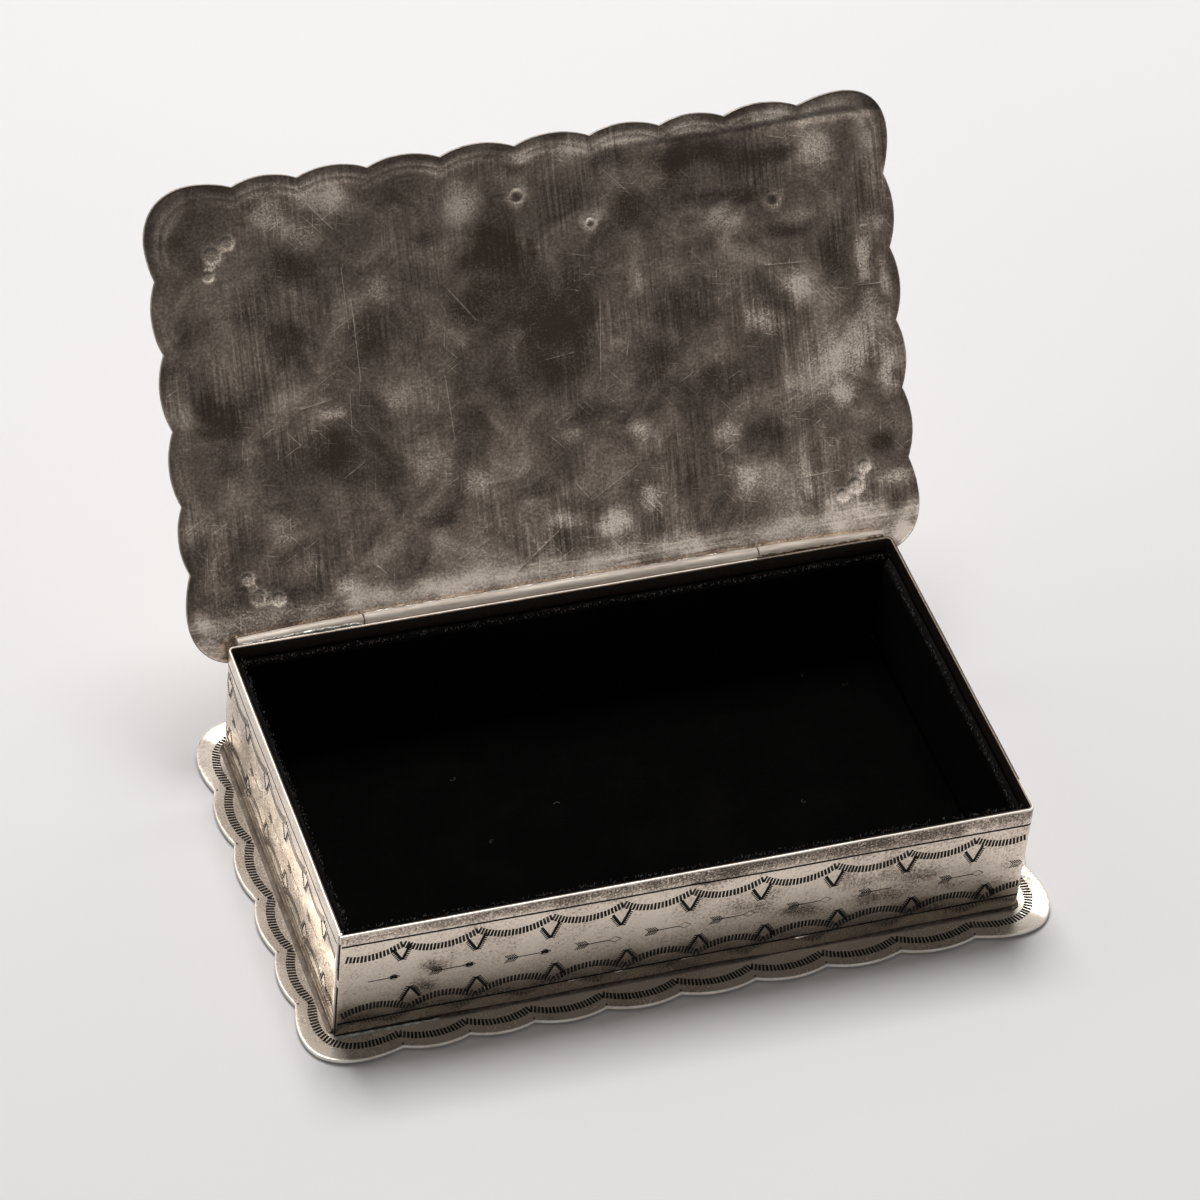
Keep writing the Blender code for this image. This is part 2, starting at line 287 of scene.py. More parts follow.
def new_material(name, constants):
    """A material, its graph and its shader, with constants set on the shader's own sockets."""
    material = bpy.data.materials.new(name)
    material.use_nodes = True
    shader = material.node_tree.nodes["Principled BSDF"]
    for socket, value in constants.items():
        shader.inputs[socket].default_value = value
    return material, Graph(material.node_tree), shader


PAPER_STOPS = ((0.3, (0.80, 0.785, 0.786)), (0.7, (0.83, 0.815, 0.816)))


def paper_material():
    material, graph, shader = new_material("pale_paper", {"Roughness": 0.9, "Specular IOR Level": 0.15})
    place = graph.own_place()
    graph.put(shader.inputs["Base Color"], graph.ramp(graph.noise(place, 3.0, 2.0), PAPER_STOPS))
    graph.bump(shader, graph.noise(place, 900.0, 3.0), 0.12, 0.0001)
    return material


# Scales of the tarnish's noises per metre: clouds, specks, grain of a stain, where lines show,
# and the lines themselves, across and along them
CLOUDS, SPECKS, GRAIN, LINE_FIELDS = 60.0, 1300.0, 1900.0, 38.0
LINES_ACROSS, LINES_ALONG = 1100.0, 28.0
LEVEL_FADE = 0.006


def silver_material(
    name, stops, lean, rough, cloud=0.9, pepper=0.8, brushing=0.5, hairlines=0.0, level_from=None, metallic=1.0
):
    """Worn silver under tarnish. The patina attribute says how dark a place is, from 0 to 1, and
    lean shifts the whole piece. Cloud, pepper and brushing are how much the tarnish varies at
    20 mm and less, at half a millimetre, and in lines along the layout's second axis, or along
    its first past level_from."""
    material, graph, shader = new_material(name, {"Metallic": metallic})
    place = graph.layout()
    clouds = graph.noise(place, CLOUDS, 8.0, 0.62, 0.6)
    specks = graph.noise(place, SPECKS, 4.0, 0.72)
    lines = graph.noise(graph.stretched(place, (LINES_ACROSS, LINES_ALONG, 1.0)), 1.0, 5.0, 0.72)
    if level_from:
        level = graph.noise(graph.stretched(place, (LINES_ALONG, LINES_ACROSS, 1.0)), 1.0, 5.0, 0.72)
        second = graph.add("ShaderNodeSeparateXYZ", {"Vector": place}).outputs["Y"]
        share = graph.range(second, (level_from, level_from + LEVEL_FADE), (0.0, 1.0), smooth=True)
        lines = graph.blend(lines, level, share)
        lean = graph.math("MULTIPLY_ADD", share, -LEVEL_LIGHT, lean)
    where = graph.range(graph.noise(place, LINE_FIELDS, 3.0), (0.46, 0.62), (0.12, 1.0), smooth=True)
    lines = graph.blend(0.5, lines, where)
    patina = graph.attribute("patina")
    broken = graph.math("MULTIPLY", patina, graph.math("SUBTRACT", graph.noise(place, GRAIN, 4.0, 0.80), 0.5))
    shift = graph.math("SUBTRACT", lean, (cloud + pepper + brushing) / 2)
    value = graph.math("MULTIPLY_ADD", broken, STAIN_GRAIN, graph.math("ADD", patina, shift))
    for layer, amount in ((clouds, cloud), (specks, pepper), (lines, brushing)):
        value = graph.math("MULTIPLY_ADD", layer, amount, value)
    if hairlines:
        value = graph.math("SUBTRACT", value, hairline_layer(graph, place, hairlines))
    graph.put(shader.inputs["Base Color"], graph.ramp(value, stops))
    graph.put(shader.inputs["Roughness"], graph.range(value, (0.15, 0.85), rough))
    relief = graph.math("MULTIPLY_ADD", lines, 0.5, graph.math("MULTIPLY_ADD", clouds, 1.5, specks))
    graph.bump(shader, relief, 0.25, 0.00003)
    return material


# Turns of the hairlines, and their scale along them
HAIRLINES = ((0.5, 70.0), (1.45, 90.0), (2.3, 60.0), (2.9, 110.0))
HAIRLINES_ACROSS = 2400.0


def hairline_layer(graph, place, strength):
    """Fine pale scratches that run every way, in clusters."""
    total = 0.0
    for turn, along in HAIRLINES:
        drawn = graph.noise(graph.stretched(place, (along, HAIRLINES_ACROSS, 1.0), turn), 1.0, 2.0, 0.5, 0.25)
        total = graph.math("ADD", total, graph.range(drawn, (0.65, 0.73), (0.0, 1.0)))
    where = graph.range(graph.noise(place, 52.0, 3.0), (0.42, 0.62), (0.1, 1.0), smooth=True)
    return graph.math("MULTIPLY", graph.math("MULTIPLY", total, where), strength)


# Mottled finishes: light and dark colour, scales of patches and grain, roughness, metallic, the
# bump's strength and depth, the pull along each axis, and whether the wear attribute rules it
FINISHES = {
    "blackened_recess": (
        (0.26, 0.215, 0.175), (0.006, 0.005, 0.0045), (300, 2200), (0.35, 0.65), 0.8,
        (0.4, 0.00006), (1, 1, 1), True,
    ),
    # painted highlight: the cut edges and the rim's outer half are pale and mostly diffuse, standing in for the
    # light they catch, over rubbed wear
    "rubbed_edge": ((0.97, 0.92, 0.84), (0.72, 0.65, 0.57), (160, 1300), (0.36, 0.50), 0.35, (0.25, 0.00004)),
    "tarnished_edge": ((0.46, 0.40, 0.34), (0.16, 0.13, 0.11), (160, 1300), (0.42, 0.6), 0.6, (0.25, 0.00004)),
    "hinge_silver": (
        (0.76, 0.69, 0.61), (0.42, 0.35, 0.29), (220, 1500), (0.66, 0.76), 0.7, (0.2, 0.00004), (0.12, 1, 1),
    ),
    "pin_silver": ((0.62, 0.56, 0.49), (0.24, 0.20, 0.165), (300, 1800), (0.3, 0.5)),
    "hinge_solder": ((0.46, 0.43, 0.39), (0.09, 0.075, 0.06), (420, 1800), (0.35, 0.6), 1.0, (0.8, 0.0001)),
    "brown_solder": ((0.20, 0.15, 0.11), (0.04, 0.03, 0.022), (420, 1800), (0.4, 0.6), 1.0, (0.8, 0.0001)),
    "foot_solder": ((0.34, 0.28, 0.225), (0.14, 0.11, 0.085), (260, 1500), (0.24, 0.42), 1.0, (0.35, 0.00006)),
    "thin_solder": ((0.10, 0.08, 0.065), (0.03, 0.023, 0.018), (500, 2400), (0.35, 0.6), 1.0, (0.6, 0.00008)),
    "seam_crust": ((0.62, 0.62, 0.57), (0.20, 0.19, 0.165), (700, 2600), (0.5, 0.8), 0.3, (0.8, 0.0001)),
    "seam_solder": ((0.66, 0.61, 0.54), (0.26, 0.22, 0.18), (400, 1800), (0.35, 0.55)),
    "pale_lint": ((0.30, 0.275, 0.25), (0.07, 0.062, 0.055), (900, 3000), (0.7, 0.9), 0.0),
}


def finish(name):
    """The mottled material of that name, made when it is first asked for."""
    return bpy.data.materials.get(name) or mottled_material(name, *FINISHES[name])


def mottled_material(
    name, light, dark, scales, rough, metallic=1.0, bump=(0.4, 0.00006), draw=(1, 1, 1), worn=False
):
    """A surface mottled from light to dark at two scales. draw pulls the mottling out along an
    axis; with worn, the wear attribute turns it from dark to light."""
    material, graph, shader = new_material(name, {"Metallic": metallic})
    place = graph.layout() if worn else graph.stretched(graph.own_place(), draw)
    patch = graph.range(graph.noise(place, scales[0], 4.0, 0.6), (0.38, 0.66), (0.0, 0.7))
    grain = graph.noise(place, scales[1], 4.0, 0.7)
    value = graph.math("ADD", patch, graph.range(grain, (0.42, 0.72), (0.0, 0.5)))
    if worn:
        wear = graph.math("MULTIPLY_ADD", graph.math("SUBTRACT", grain, 0.5), 0.8, graph.attribute("wear"))
        value = graph.math("SUBTRACT", 1.0, wear)
    graph.put(shader.inputs["Base Color"], graph.ramp(value, ((0.0, light), (1.0, dark))))
    graph.put(shader.inputs["Roughness"], graph.range(value, (0.0, 1.0), rough))
    graph.bump(shader, grain, *bump)
    return material


def velvet_material(name, base, crushed, sheen=0.010):
    """Black pile that drinks the light, a little paler where it is crushed."""
    constants = {"Roughness": 1.0, "Specular IOR Level": 0.03, "Sheen Weight": sheen, "Sheen Roughness": 0.45}
    material, graph, shader = new_material(name, constants)
    place = graph.own_place()
    nap = graph.range(graph.noise(place, 60.0, 3.0, 0.6), (0.45, 0.8), (0.0, 0.5))
    pile = graph.noise(place, 3000.0, 3.0, 0.7)
    value = graph.math("ADD", nap, graph.range(pile, (0.48, 0.75), (0.0, 0.7)))
    graph.put(shader.inputs["Base Color"], graph.ramp(value, ((0.0, base), (1.0, crushed))))
    graph.bump(shader, pile, 0.9, 0.0004)
    return material


# Meshes

def add_mesh(name, verts, faces, materials, face_slots=None, layout=None, values=None):
    """A mesh object. layout gives each vertex its place in the flat piece, kept as the UV map;
    values maps attribute names to one number per vertex."""
    mesh = bpy.data.meshes.new(name)
    mesh.from_pydata(verts, [], faces)
    for material in materials:
        mesh.materials.append(material)
    if face_slots:
        mesh.polygons.foreach_set("material_index", face_slots)
    if layout:
        flat = [number for loop in mesh.loops for number in layout[loop.vertex_index]]
        mesh.uv_layers.new(name="layout").data.foreach_set("uv", flat)
    for key, numbers in (values or {}).items():
        mesh.attributes.new(key, "FLOAT", "POINT").data.foreach_set("value", numbers)
    mesh.shade_smooth()
    mesh.set_sharp_from_angle(angle=SMOOTH_ANGLE)
    mesh.update()
    return put_in_scene(name, mesh)


def finish_piece(piece, body, slot, *nodes):
    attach(piece, body)
    if nodes:
        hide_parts(*nodes)
    return piece


def skin_faces(first, around, rows, closed=False):
    """Faces through rows of vertices counted from first, the ends capped, or joined with closed."""
    faces = []
    for row in range(rows if closed else rows - 1):
        a, b = first + row * around, first + (row + 1) % rows * around
        for corner in range(around):
            following = (corner + 1) % around
            faces.append((a + corner, a + following, b + following, b + corner))
    if not closed:
        last = first + (rows - 1) * around
        faces += [tuple(reversed(range(first, first + around))), tuple(range(last, last + around))]
    return faces


def loft(name, loops, materials, closed=False, second=()):
    """A skin through loops of equal length. second lists the corners whose faces take the second
    material."""
    around = len(loops[0])
    faces = skin_faces(0, around, len(loops), closed)
    slots = [int(len(face) == 4 and face[0] % around in second) for face in faces]
    return add_mesh(name, [point for loop in loops for point in loop], faces, materials, slots)


def bar(name, path, radii, material, sides=24, bore=None, lumps=0.0, lump_size=0.002, squash=1.0):
    """A round bar, or a tube with a bore, along a path of points. lumps roughens it."""
    path = [Vector(point) for point in path]

    def ring(number, around):
        run = (path[min(number + 1, len(path) - 1)] - path[max(number - 1, 0)]).normalized()
        side = run.cross(Vector((0, 0, 1)))
        side = side.normalized() if side.length > 1e-6 else Vector((1, 0, 0))
        over = side.cross(run).normalized() * squash
        points = []
        for corner in range(sides):
            angle = -math.tau * corner / sides
            offset = side * math.cos(angle) + over * math.sin(angle)
            bumpy = lumps * noise.noise((path[number] + offset * around) / lump_size)
            points.append(path[number] + offset * (around + bumpy))
        return points

    loops = [ring(number, radii[number]) for number in range(len(path))]
    if bore:
        loops += [ring(number, bore) for number in reversed(range(len(path)))]
    return loft(name, loops, [material], closed=bool(bore))


# Outlines

def arc_points(start, end, rise_share, steps):
    """Points of the arc from start, up to end, that swells to the right of its run by
    rise_share of the straight line."""
    run_x, run_y = end[0] - start[0], end[1] - start[1]
    chord = math.hypot(run_x, run_y)
    rise = rise_share * chord
    radius = (chord * chord / 4 + rise * rise) / (2 * rise)
    x = (start[0] + end[0]) / 2 + run_y / chord * (rise - radius)
    y = (start[1] + end[1]) / 2 - run_x / chord * (rise - radius)
    first = math.atan2(start[1] - y, start[0] - x)
    sweep = (math.atan2(end[1] - y, end[0] - x) - first) % math.tau
    angles = [first + sweep * step / steps for step in range(steps)]
    return [(x + radius * math.cos(angle), y + radius * math.sin(angle)) for angle in angles]


def corner_points(start, end, run, next_run, handle_share, steps):
    """Points of the curve round a plate's corner, up to end."""
    handle = handle_share * math.dist(start, end)
    along = handle * math.cos(CORNER_LEAN)
    out = handle * math.sin(CORNER_LEAN)
    first = (start[0] + along * run[0] + out * run[1], start[1] + along * run[1] - out * run[0])
    last = (end[0] - along * next_run[0] + out * next_run[1], end[1] - along * next_run[1] - out * next_run[0])
    points = []
    for step in range(steps):
        t = step / steps
        weights = ((1 - t) ** 3, 3 * t * (1 - t) ** 2, 3 * t**2 * (1 - t), t**3)
        pull = (start, first, last, end)
        points.append(tuple(sum(w * p[axis] for w, p in zip(weights, pull)) for axis in (0, 1)))
    return points


def plate_lobes(length, width, notch_shares, corner_shares, shift, inset=0.0, rise_share=LOBE_RISE_SHARE):
    """The plate's lobes as lists of points, each from one notch up to the next. With an inset the
    notches move in from the edge, which gives the curves of the punched crescents."""
    half_length = length / 2 - inset
    half_width = width / 2 - inset
    front, right, back, left = notch_shares
    sides = (
        [(share * length / 2, -half_width) for share in front],
        [(half_length, share * width / 2) for share in right],
        [(share * length / 2, half_width) for share in reversed(back)],
        [(-half_length, share * width / 2) for share in reversed(left)],
    )
    runs = ((1, 0), (0, 1), (-1, 0), (0, -1))
    lobes = []
    for number, side in enumerate(sides):
        following = (number + 1) % len(sides)
        for start, end in zip(side, side[1:]):
            lobes.append(arc_points(start, end, rise_share, LOBE_STEPS))
        ends = (side[-1], sides[following][0])
        lobes.append(corner_points(*ends, runs[number], runs[following], corner_shares[number], CORNER_STEPS))
    return [[(x + shift[0], y + shift[1]) for x, y in lobe] for lobe in lobes]


BASE_SHAPE = (BASE_LENGTH, BASE_WIDTH, BASE_NOTCHES, BASE_CORNER_SHARES)
LID_SHAPE = (LID_LENGTH, LID_WIDTH, LID_NOTCHES, LID_CORNER_SHARES)
LID_BACK_SHIFT = LID_REAR_OVERHANG - max(y for lobe in plate_lobes(*LID_SHAPE, (0, 0)) for x, y in lobe)
LID_SHIFT = (LID_SIDE_SHIFT, LID_BACK_SHIFT)
base_lobes = partial(plate_lobes, *BASE_SHAPE, (BASE_SIDE_SHIFT, 0.0))
lid_lobes = partial(plate_lobes, *LID_SHAPE, LID_SHIFT)


def joined(lobes):
    return [point for lobe in lobes for point in lobe]


def inset_outline(outline, distance):
    """The outline moved in by distance, square to the run at each of its points."""
    moved = []
    for number, (x, y) in enumerate(outline):
        before, after = Vector(outline[number - 1]), Vector(outline[(number + 1) % len(outline)])
        first = (Vector((x, y)) - before).normalized()
        second = (after - Vector((x, y))).normalized()
        inward = Vector((-first.y - second.y, first.x + second.x)).normalized()
        lean = max(0.5, inward.dot(Vector((-first.y, first.x))))
        moved.append((x + inward.x * distance / lean, y + inward.y * distance / lean))
    return moved


def is_inside(x, y, outline):
    inside = False
    before_x, before_y = outline[-1]
    for next_x, next_y in outline:
        if (next_y > y) != (before_y > y):
            if x < (before_x - next_x) * (y - next_y) / (before_y - next_y) + next_x:
                inside = not inside
        before_x, before_y = next_x, next_y
    return inside


def smooth_step(low, high, value):
    share = min(1.0, max(0.0, (value - low) / (high - low)))
    return share * share * (3 - 2 * share)


def bell(value, middle, width):
    return math.exp(-(((value - middle) / width) ** 2))


# Punch marks. A mark is its outer loop, its deepest loop, its depth and how far it is rubbed.

MARK_FLOOR_SHARE = 0.62  # width of a mark's floor
MARK_END_SLOPE = 0.8  # how far a mark's ends slope in, by its depth
TICK_LENGTH = 0.0023
TICK_WIDTH = 0.00062
TICK_PITCH = 0.00094
TICK_DEPTH = 0.00016
FINE_TICK_WIDTH = 0.00050
FINE_TICK_DEPTH = 0.00012
LEG_WIDTH = 0.00078
LEG_DEPTH = 0.00020
TOOTH_LENGTH = 0.00105
TOOTH_WIDTH = 0.00040
TOOTH_PITCH = 0.00064
TOOTH_LEAN = 0.00014
FADED_SHARE = 0.12  # of a line of ticks, at each end


def wedge(x, y, turn, length, width, depth, rubbed=0.0, flare=1.0):
    """A straight mark centred at (x, y), its length along the angle turn, wider at its far end."""
    along = (math.cos(turn), math.sin(turn))
    floor = (length / 2 - depth * MARK_END_SLOPE, width / 2 * MARK_FLOOR_SHARE)
    loops = []
    for far, wide in ((length / 2, width / 2), floor):
        corners = ((-far, -wide), (far, -wide * flare), (far, wide * flare), (-far, wide))
        loops.append([(x + a * along[0] - b * along[1], y + a * along[1] + b * along[0]) for a, b in corners])
    return (*loops, depth, rubbed)


def cut(start, end, width, depth, rubbed=0.0):
    turn = math.atan2(end[1] - start[1], end[0] - start[0])
    middle = ((start[0] + end[0]) / 2, (start[1] + end[1]) / 2)
    return wedge(*middle, turn, math.dist(start, end), width, depth, rubbed)


def marks_along(points, length, dice, fade=0.25, upright=0.0, fine=False):
    """Ticks across a line of points, evenly spaced and more rubbed towards both ends. upright is
    the share by which they turn back from square to the line towards square to its chord."""
    width, depth = (FINE_TICK_WIDTH, FINE_TICK_DEPTH) if fine else (TICK_WIDTH, TICK_DEPTH)
    lengths = [math.dist(a, b) for a, b in zip(points, points[1:])]
    chord_turn = math.atan2(points[-1][1] - points[0][1], points[-1][0] - points[0][0])
    count = max(2, round(sum(lengths) / TICK_PITCH))
    marks = []
    for number in range(count):
        travel = sum(lengths) * (number + 0.5) / count
        piece = 0
        while piece < len(lengths) - 1 and travel > lengths[piece]:
            travel -= lengths[piece]
            piece += 1
        start, end = points[piece], points[piece + 1]
        share = travel / lengths[piece]
        swing = math.remainder(math.atan2(end[1] - start[1], end[0] - start[0]) - chord_turn, math.tau)
        turn = chord_turn + swing * (1 - upright) - math.pi / 2 + dice.uniform(-0.04, 0.04)
        place = (start[0] + share * (end[0] - start[0]), start[1] + share * (end[1] - start[1]))
        from_end = min(number, count - 1 - number) / count
        rubbed = max(0.0, (FADED_SHARE - from_end) / FADED_SHARE) * fade + dice.uniform(0, 0.12)
        marks.append(wedge(*place, turn, length * dice.uniform(0.92, 1.06), width, depth, rubbed, 1.10))
    return marks


def toothed_leg(tip, top, side, dice, width):
    """One leg of a triangle punch: a cut with short teeth on its outer side."""
    marks = [cut(tip, top, width, LEG_DEPTH)]
    run = (Vector(top) - Vector(tip)).normalized()
    out = Vector((run.y, -run.x)) * side
    for number in range(round((math.dist(tip, top) - TOOTH_PITCH) / TOOTH_PITCH)):
        root = Vector(tip) + run * TOOTH_PITCH * (number + 0.7)
        point = root + out * TOOTH_LENGTH - run * TOOTH_LEAN
        marks.append(cut(root, point, TOOTH_WIDTH, LEG_DEPTH * 0.8, dice.uniform(0, 0.15)))
    return marks


def triangle(s, t, legs, side, dice, width=LEG_WIDTH):
    """A serrated triangle without its base, its point at (s, t) and its legs ending off by legs."""
    marks = []
    for number, (over, up) in enumerate(legs):
        marks += toothed_leg((s, t), (s + over, t + up), side if number else -side, dice, width)
    return marks


UPPER_LEGS = ((-0.0025, 0.0043), (0.0020, 0.0054))
LOWER_LEGS = ((-0.0022, -0.0048), (0.0027, -0.0042))
ARROW_LENGTH = 0.0121
ARROW_FEATHERS = 0.0039
ARROW_HEAD = 0.0032
ARROW_HEAD_HALF = 0.00096
ARROW_TAIL = 0.0009
BARBS = 5
BARBS_FROM = 0.0010
BARB_REACH = (-0.0009, 0.00132)
# Width and depth of each cut
SHAFT_CUT = (0.00032, 0.00013)
HEAD_CUT = (0.00019, 0.00011)
BARB_CUT = (0.00028, 0.00014)


def arrow(s, t, dice, rubbed=0.0, parts="fsh"):
    """A small arrow pointing along s, of the parts asked for: feathers, shaft, an open diamond
    for a head, and a dark middle in it."""
    shafts, edges, barbs = [], [], []
    head = s + ARROW_LENGTH - ARROW_HEAD
    middle, tip = head + ARROW_HEAD / 2, s + ARROW_LENGTH
    if "s" in parts:
        shafts.append(((s + (ARROW_TAIL if "f" in parts else ARROW_FEATHERS), t), (head + 0.0001, t)))
    for side in (-1, 1):
        shoulder = (middle, t + side * ARROW_HEAD_HALF)
        if "f" in parts:
            roots = [s + BARBS_FROM + number * (ARROW_FEATHERS - BARBS_FROM) / BARBS for number in range(BARBS)]
            end = t + side * BARB_REACH[1]
            barbs += [((root + 0.0002, t + side * 0.0001), (root + BARB_REACH[0], end)) for root in roots]
        if "h" in parts:
            edges += [((head, t), shoulder), (shoulder, (tip, t))]
    marks = []
    for strokes, size in ((shafts, SHAFT_CUT), (edges, HEAD_CUT), (barbs, BARB_CUT)):
        marks += [cut(*stroke, *size, rubbed + dice.uniform(0, 0.1)) for stroke in strokes]
    if "d" in parts:
        marks.append(wedge(middle, t, 0.0, ARROW_HEAD * 0.6, ARROW_HEAD_HALF * 1.2, 0.00009, 0.15))
    return marks


CELL = 0.0030  # of the grid that marks are found by


class Marks:
    """The punch marks of one face, found again by the cell of the layout they lie in."""

    def __init__(self, outline=None):
        self.kept = []
        self.cells = {}
        self.outline = outline

    def add(self, marks):
        for mark in marks:
            if self.outline and not all(is_inside(x, y, self.outline) for x, y in mark[0]):
                continue
            columns, rows = ([math.floor(point[axis] / CELL) for point in mark[0]] for axis in (0, 1))
            for column in range(min(columns), max(columns) + 1):
                for row in range(min(rows), max(rows) + 1):
                    self.cells.setdefault((column, row), []).append(len(self.kept))
            self.kept.append(mark)

    def at(self, x, y, loop):
        """The marks whose outer (0) or deepest (1) loop holds a point."""
        near = self.cells.get((math.floor(x / CELL), math.floor(y / CELL)), ())
        return [self.kept[number] for number in near if is_inside(x, y, self.kept[number][loop])]

    def depth_at(self, x, y):
        return max((mark[2] for mark in self.at(x, y, 1)), default=0.0)


# Sheets of silver from a flat layout

def triangulate(outline, marks, points):
    """Triangles of one face of a sheet. points are (s, t, height, darkness). Returns the vertices
    as (s, t, depth, height, darkness, rubbed), the triangles, which of them lie in marks, and the
    vertex of each outline point. Where marks cross, the deepest holds."""
    places = [Vector(point) for point in outline]
    facts = [(0.0, 0.0, 0.0, 0.0)] * len(outline)
    rings = [list(range(len(outline)))]
    for outer, inner, depth, rubbed in marks.kept:
        for loop, sunk in ((outer, 0.0), (inner, depth)):
            rings.append(list(range(len(places), len(places) + len(loop))))
            places += [Vector(point) for point in loop]
            facts += [(sunk, 0.0, 0.0, rubbed)] * len(loop)
    free = len(places)
    for s, t, height, dark in points:
        if not marks.at(s, t, 0):
            places.append(Vector((s, t)))
            facts.append((0.0, height, dark, 0.0))
    verts, _, triangles, origins, _, owners = delaunay_2d_cdt(places, [], rings, 1, 1e-7, True)
    made = []
    boundary = [None] * len(outline)
    for number, place in enumerate(verts):
        own = [facts[origin] for origin in origins[number]] or [(0.0, 0.0, 0.0, 0.0)]
        depth = max(fact[0] for fact in own)
        if not any(origin >= free for origin in origins[number]):
            depth = max(depth, marks.depth_at(place.x, place.y))
        made.append((place.x, place.y, depth, own[0][1], own[0][2], max(fact[3] for fact in own)))
        for origin in origins[number]:
            if origin < len(outline):
                boundary[origin] = number
    inside = [number for number, owner_list in enumerate(owners) if 0 in owner_list]
    marked = [len(owners[number]) > 1 for number in inside]
    return made, [triangles[number] for number in inside], marked, boundary


FRONT, MARK, EDGE, BACK, BACK_MARK = range(5)


def add_sheet(name, outline, place, gauge, edge_round, front, back, materials, edge_slot=None):
    """A closed sheet. place(s, t, depth) puts a point of the layout in space, depth counted from
    the front face. front and back are (marks, points, relief, patina). materials are for the
    front, its marks, the cut edge, the back and its marks."""
    face_outline = inset_outline(outline, edge_round)
    verts, layout, patina, wear = [], [], [], []
    faces, slots = [], []

    def put(s, t, depth, dark, rubbed):
        verts.append(place(s, t, depth))
        layout.append((s, t))
        patina.append(dark)
        wear.append(rubbed)
        return len(verts) - 1

    def put_face(side, at_back):
        marks, points, relief, darkness = side
        made, triangles, marked, boundary = triangulate(face_outline, marks, points)
        first = len(verts)
        for s, t, depth, height, dark, rubbed in made:
            down = depth - relief(s, t) - height
            put(s, t, gauge - down if at_back else down, dark + darkness(s, t), rubbed)
        for corners, is_mark in zip(triangles, marked):
            corners = [first + corner for corner in corners]
            faces.append(tuple(reversed(corners)) if at_back else tuple(corners))
            slots.append((BACK_MARK if is_mark else BACK) if at_back else (MARK if is_mark else FRONT))
        return [first + number for number in boundary]

    def join_strip(loop, ring, depth):
        for number in range(len(loop)):
            following = (number + 1) % len(loop)
            faces.append((loop[number], ring[number], ring[following], loop[following]))
            slots.append(edge_slot(*outline[number], depth) if edge_slot else EDGE)

    loop = put_face(front, False)
    turns = [math.radians(angle) for angle in (30, 60, 90)]
    rounding = [(edge_round * (1 - math.sin(turn)), edge_round * (1 - math.cos(turn))) for turn in turns]
    profile = [*rounding, (0.0, gauge / 2), *((inset, gauge - depth) for inset, depth in reversed(rounding))]
    for inset, depth in profile:
        through = depth / gauge
        ring = []
        for s, t in inset_outline(outline, inset):
            ring.append(put(s, t, depth - front[2](s, t) * (1 - through) + back[2](s, t) * through, 0.0, 0.0))
        join_strip(loop, ring, depth)
        loop = ring
    join_strip(loop, put_face(back, True), gauge)
    return add_mesh(name, verts, faces, materials, slots, layout, {"patina": patina, "wear": wear})


def waves(seed, size, height):
    """A gentle unevenness of hand-worked sheet, as a function of the layout's place."""
    offset = Vector((seed * 3.7, seed * 1.3, seed))
    return lambda s, t: height * noise.noise(Vector((s, t, 0)) / size + offset)


WANDER = 0.55
WANDER_SEED = 1795870752
noise.seed_set(WANDER_SEED)


def blotches(patches, ground=0.0):
    """Darkness of a face from listed patches, in millimetres: (s, t, half length, half height, darkness). Their
    outlines wander."""
    def darkness(s, t):
        value = ground
        wander = noise.noise_vector((s / 0.007, t / 0.007, 0))
        wander = wander + 0.6 * noise.noise_vector((s / 0.003, t / 0.003, 4))
        s, t = s / MM, t / MM
        for middle_s, middle_t, half_s, half_t, dark in patches:
            over = (s - middle_s) / half_s + WANDER * wander.x
            up = (t - middle_t) / half_t + WANDER * wander.y
            away = over * over + up * up
            if away < 4:
                value += dark * math.exp(-(away**1.5))
        return value

    return darkness


def plain(s, t):
    return 0.0


UNDER_STOPS = ((0.0, (0.46, 0.40, 0.34)), (0.5, (0.24, 0.20, 0.165)), (1.0, (0.08, 0.064, 0.052)))


def sheet_materials(front, back, back_mark=None, edge="rubbed_edge"):
    """The materials of a sheet: its two faces, the shared recess and cut edge, and the marks of
    its back."""
    recess = finish("blackened_recess")
    return [front, recess, finish(edge), back, back_mark or recess]


# Band of walls

QUARTER_BEND = math.pi / 2 * BEND_RADIUS
FRONT_RUN = BOX_LENGTH - BEND_RADIUS
SIDE_RUN = BOX_WIDTH - 2 * BEND_RADIUS
BACK_RUN = BOX_LENGTH - 2 * BEND_RADIUS
LEFT_RUN = BOX_WIDTH - BEND_RADIUS - WALL_GAUGE - SEAM_SLIT
RIGHT_START = FRONT_RUN + QUARTER_BEND
BACK_START = RIGHT_START + SIDE_RUN + QUARTER_BEND
LEFT_START = BACK_START + BACK_RUN + QUARTER_BEND
BAND_LENGTH = LEFT_START + LEFT_RUN


def band_place(s, t, depth):
    """From the band's flat strip, s along it from the seam and t up from its foot, to space."""
    half_length, half_width = BOX_LENGTH / 2, BOX_WIDTH / 2
    legs = (
        (FRONT_RUN, (-half_length, -half_width), -90),
        (SIDE_RUN, (half_length, -half_width + BEND_RADIUS), 0),
        (BACK_RUN, (half_length - BEND_RADIUS, half_width), 90),
        (LEFT_RUN + BEND_RADIUS, (-half_length, half_width - BEND_RADIUS), 180),
    )
    for length, (x, y), facing in legs:
        turn = math.radians(facing)
        normal = (math.cos(turn), math.sin(turn))
        run = (-normal[1], normal[0])
        if s <= length:
            return (x + run[0] * s - normal[0] * depth, y + run[1] * s - normal[1] * depth, WALL_FOOT + t)
        s -= length
        if s <= QUARTER_BEND:
            centre = [(x, y)[axis] + run[axis] * length - normal[axis] * BEND_RADIUS for axis in (0, 1)]
            angle = turn + s / BEND_RADIUS
            reach = BEND_RADIUS - depth
            return (centre[0] + reach * math.cos(angle), centre[1] + reach * math.sin(angle), WALL_FOOT + t)
        s -= QUARTER_BEND


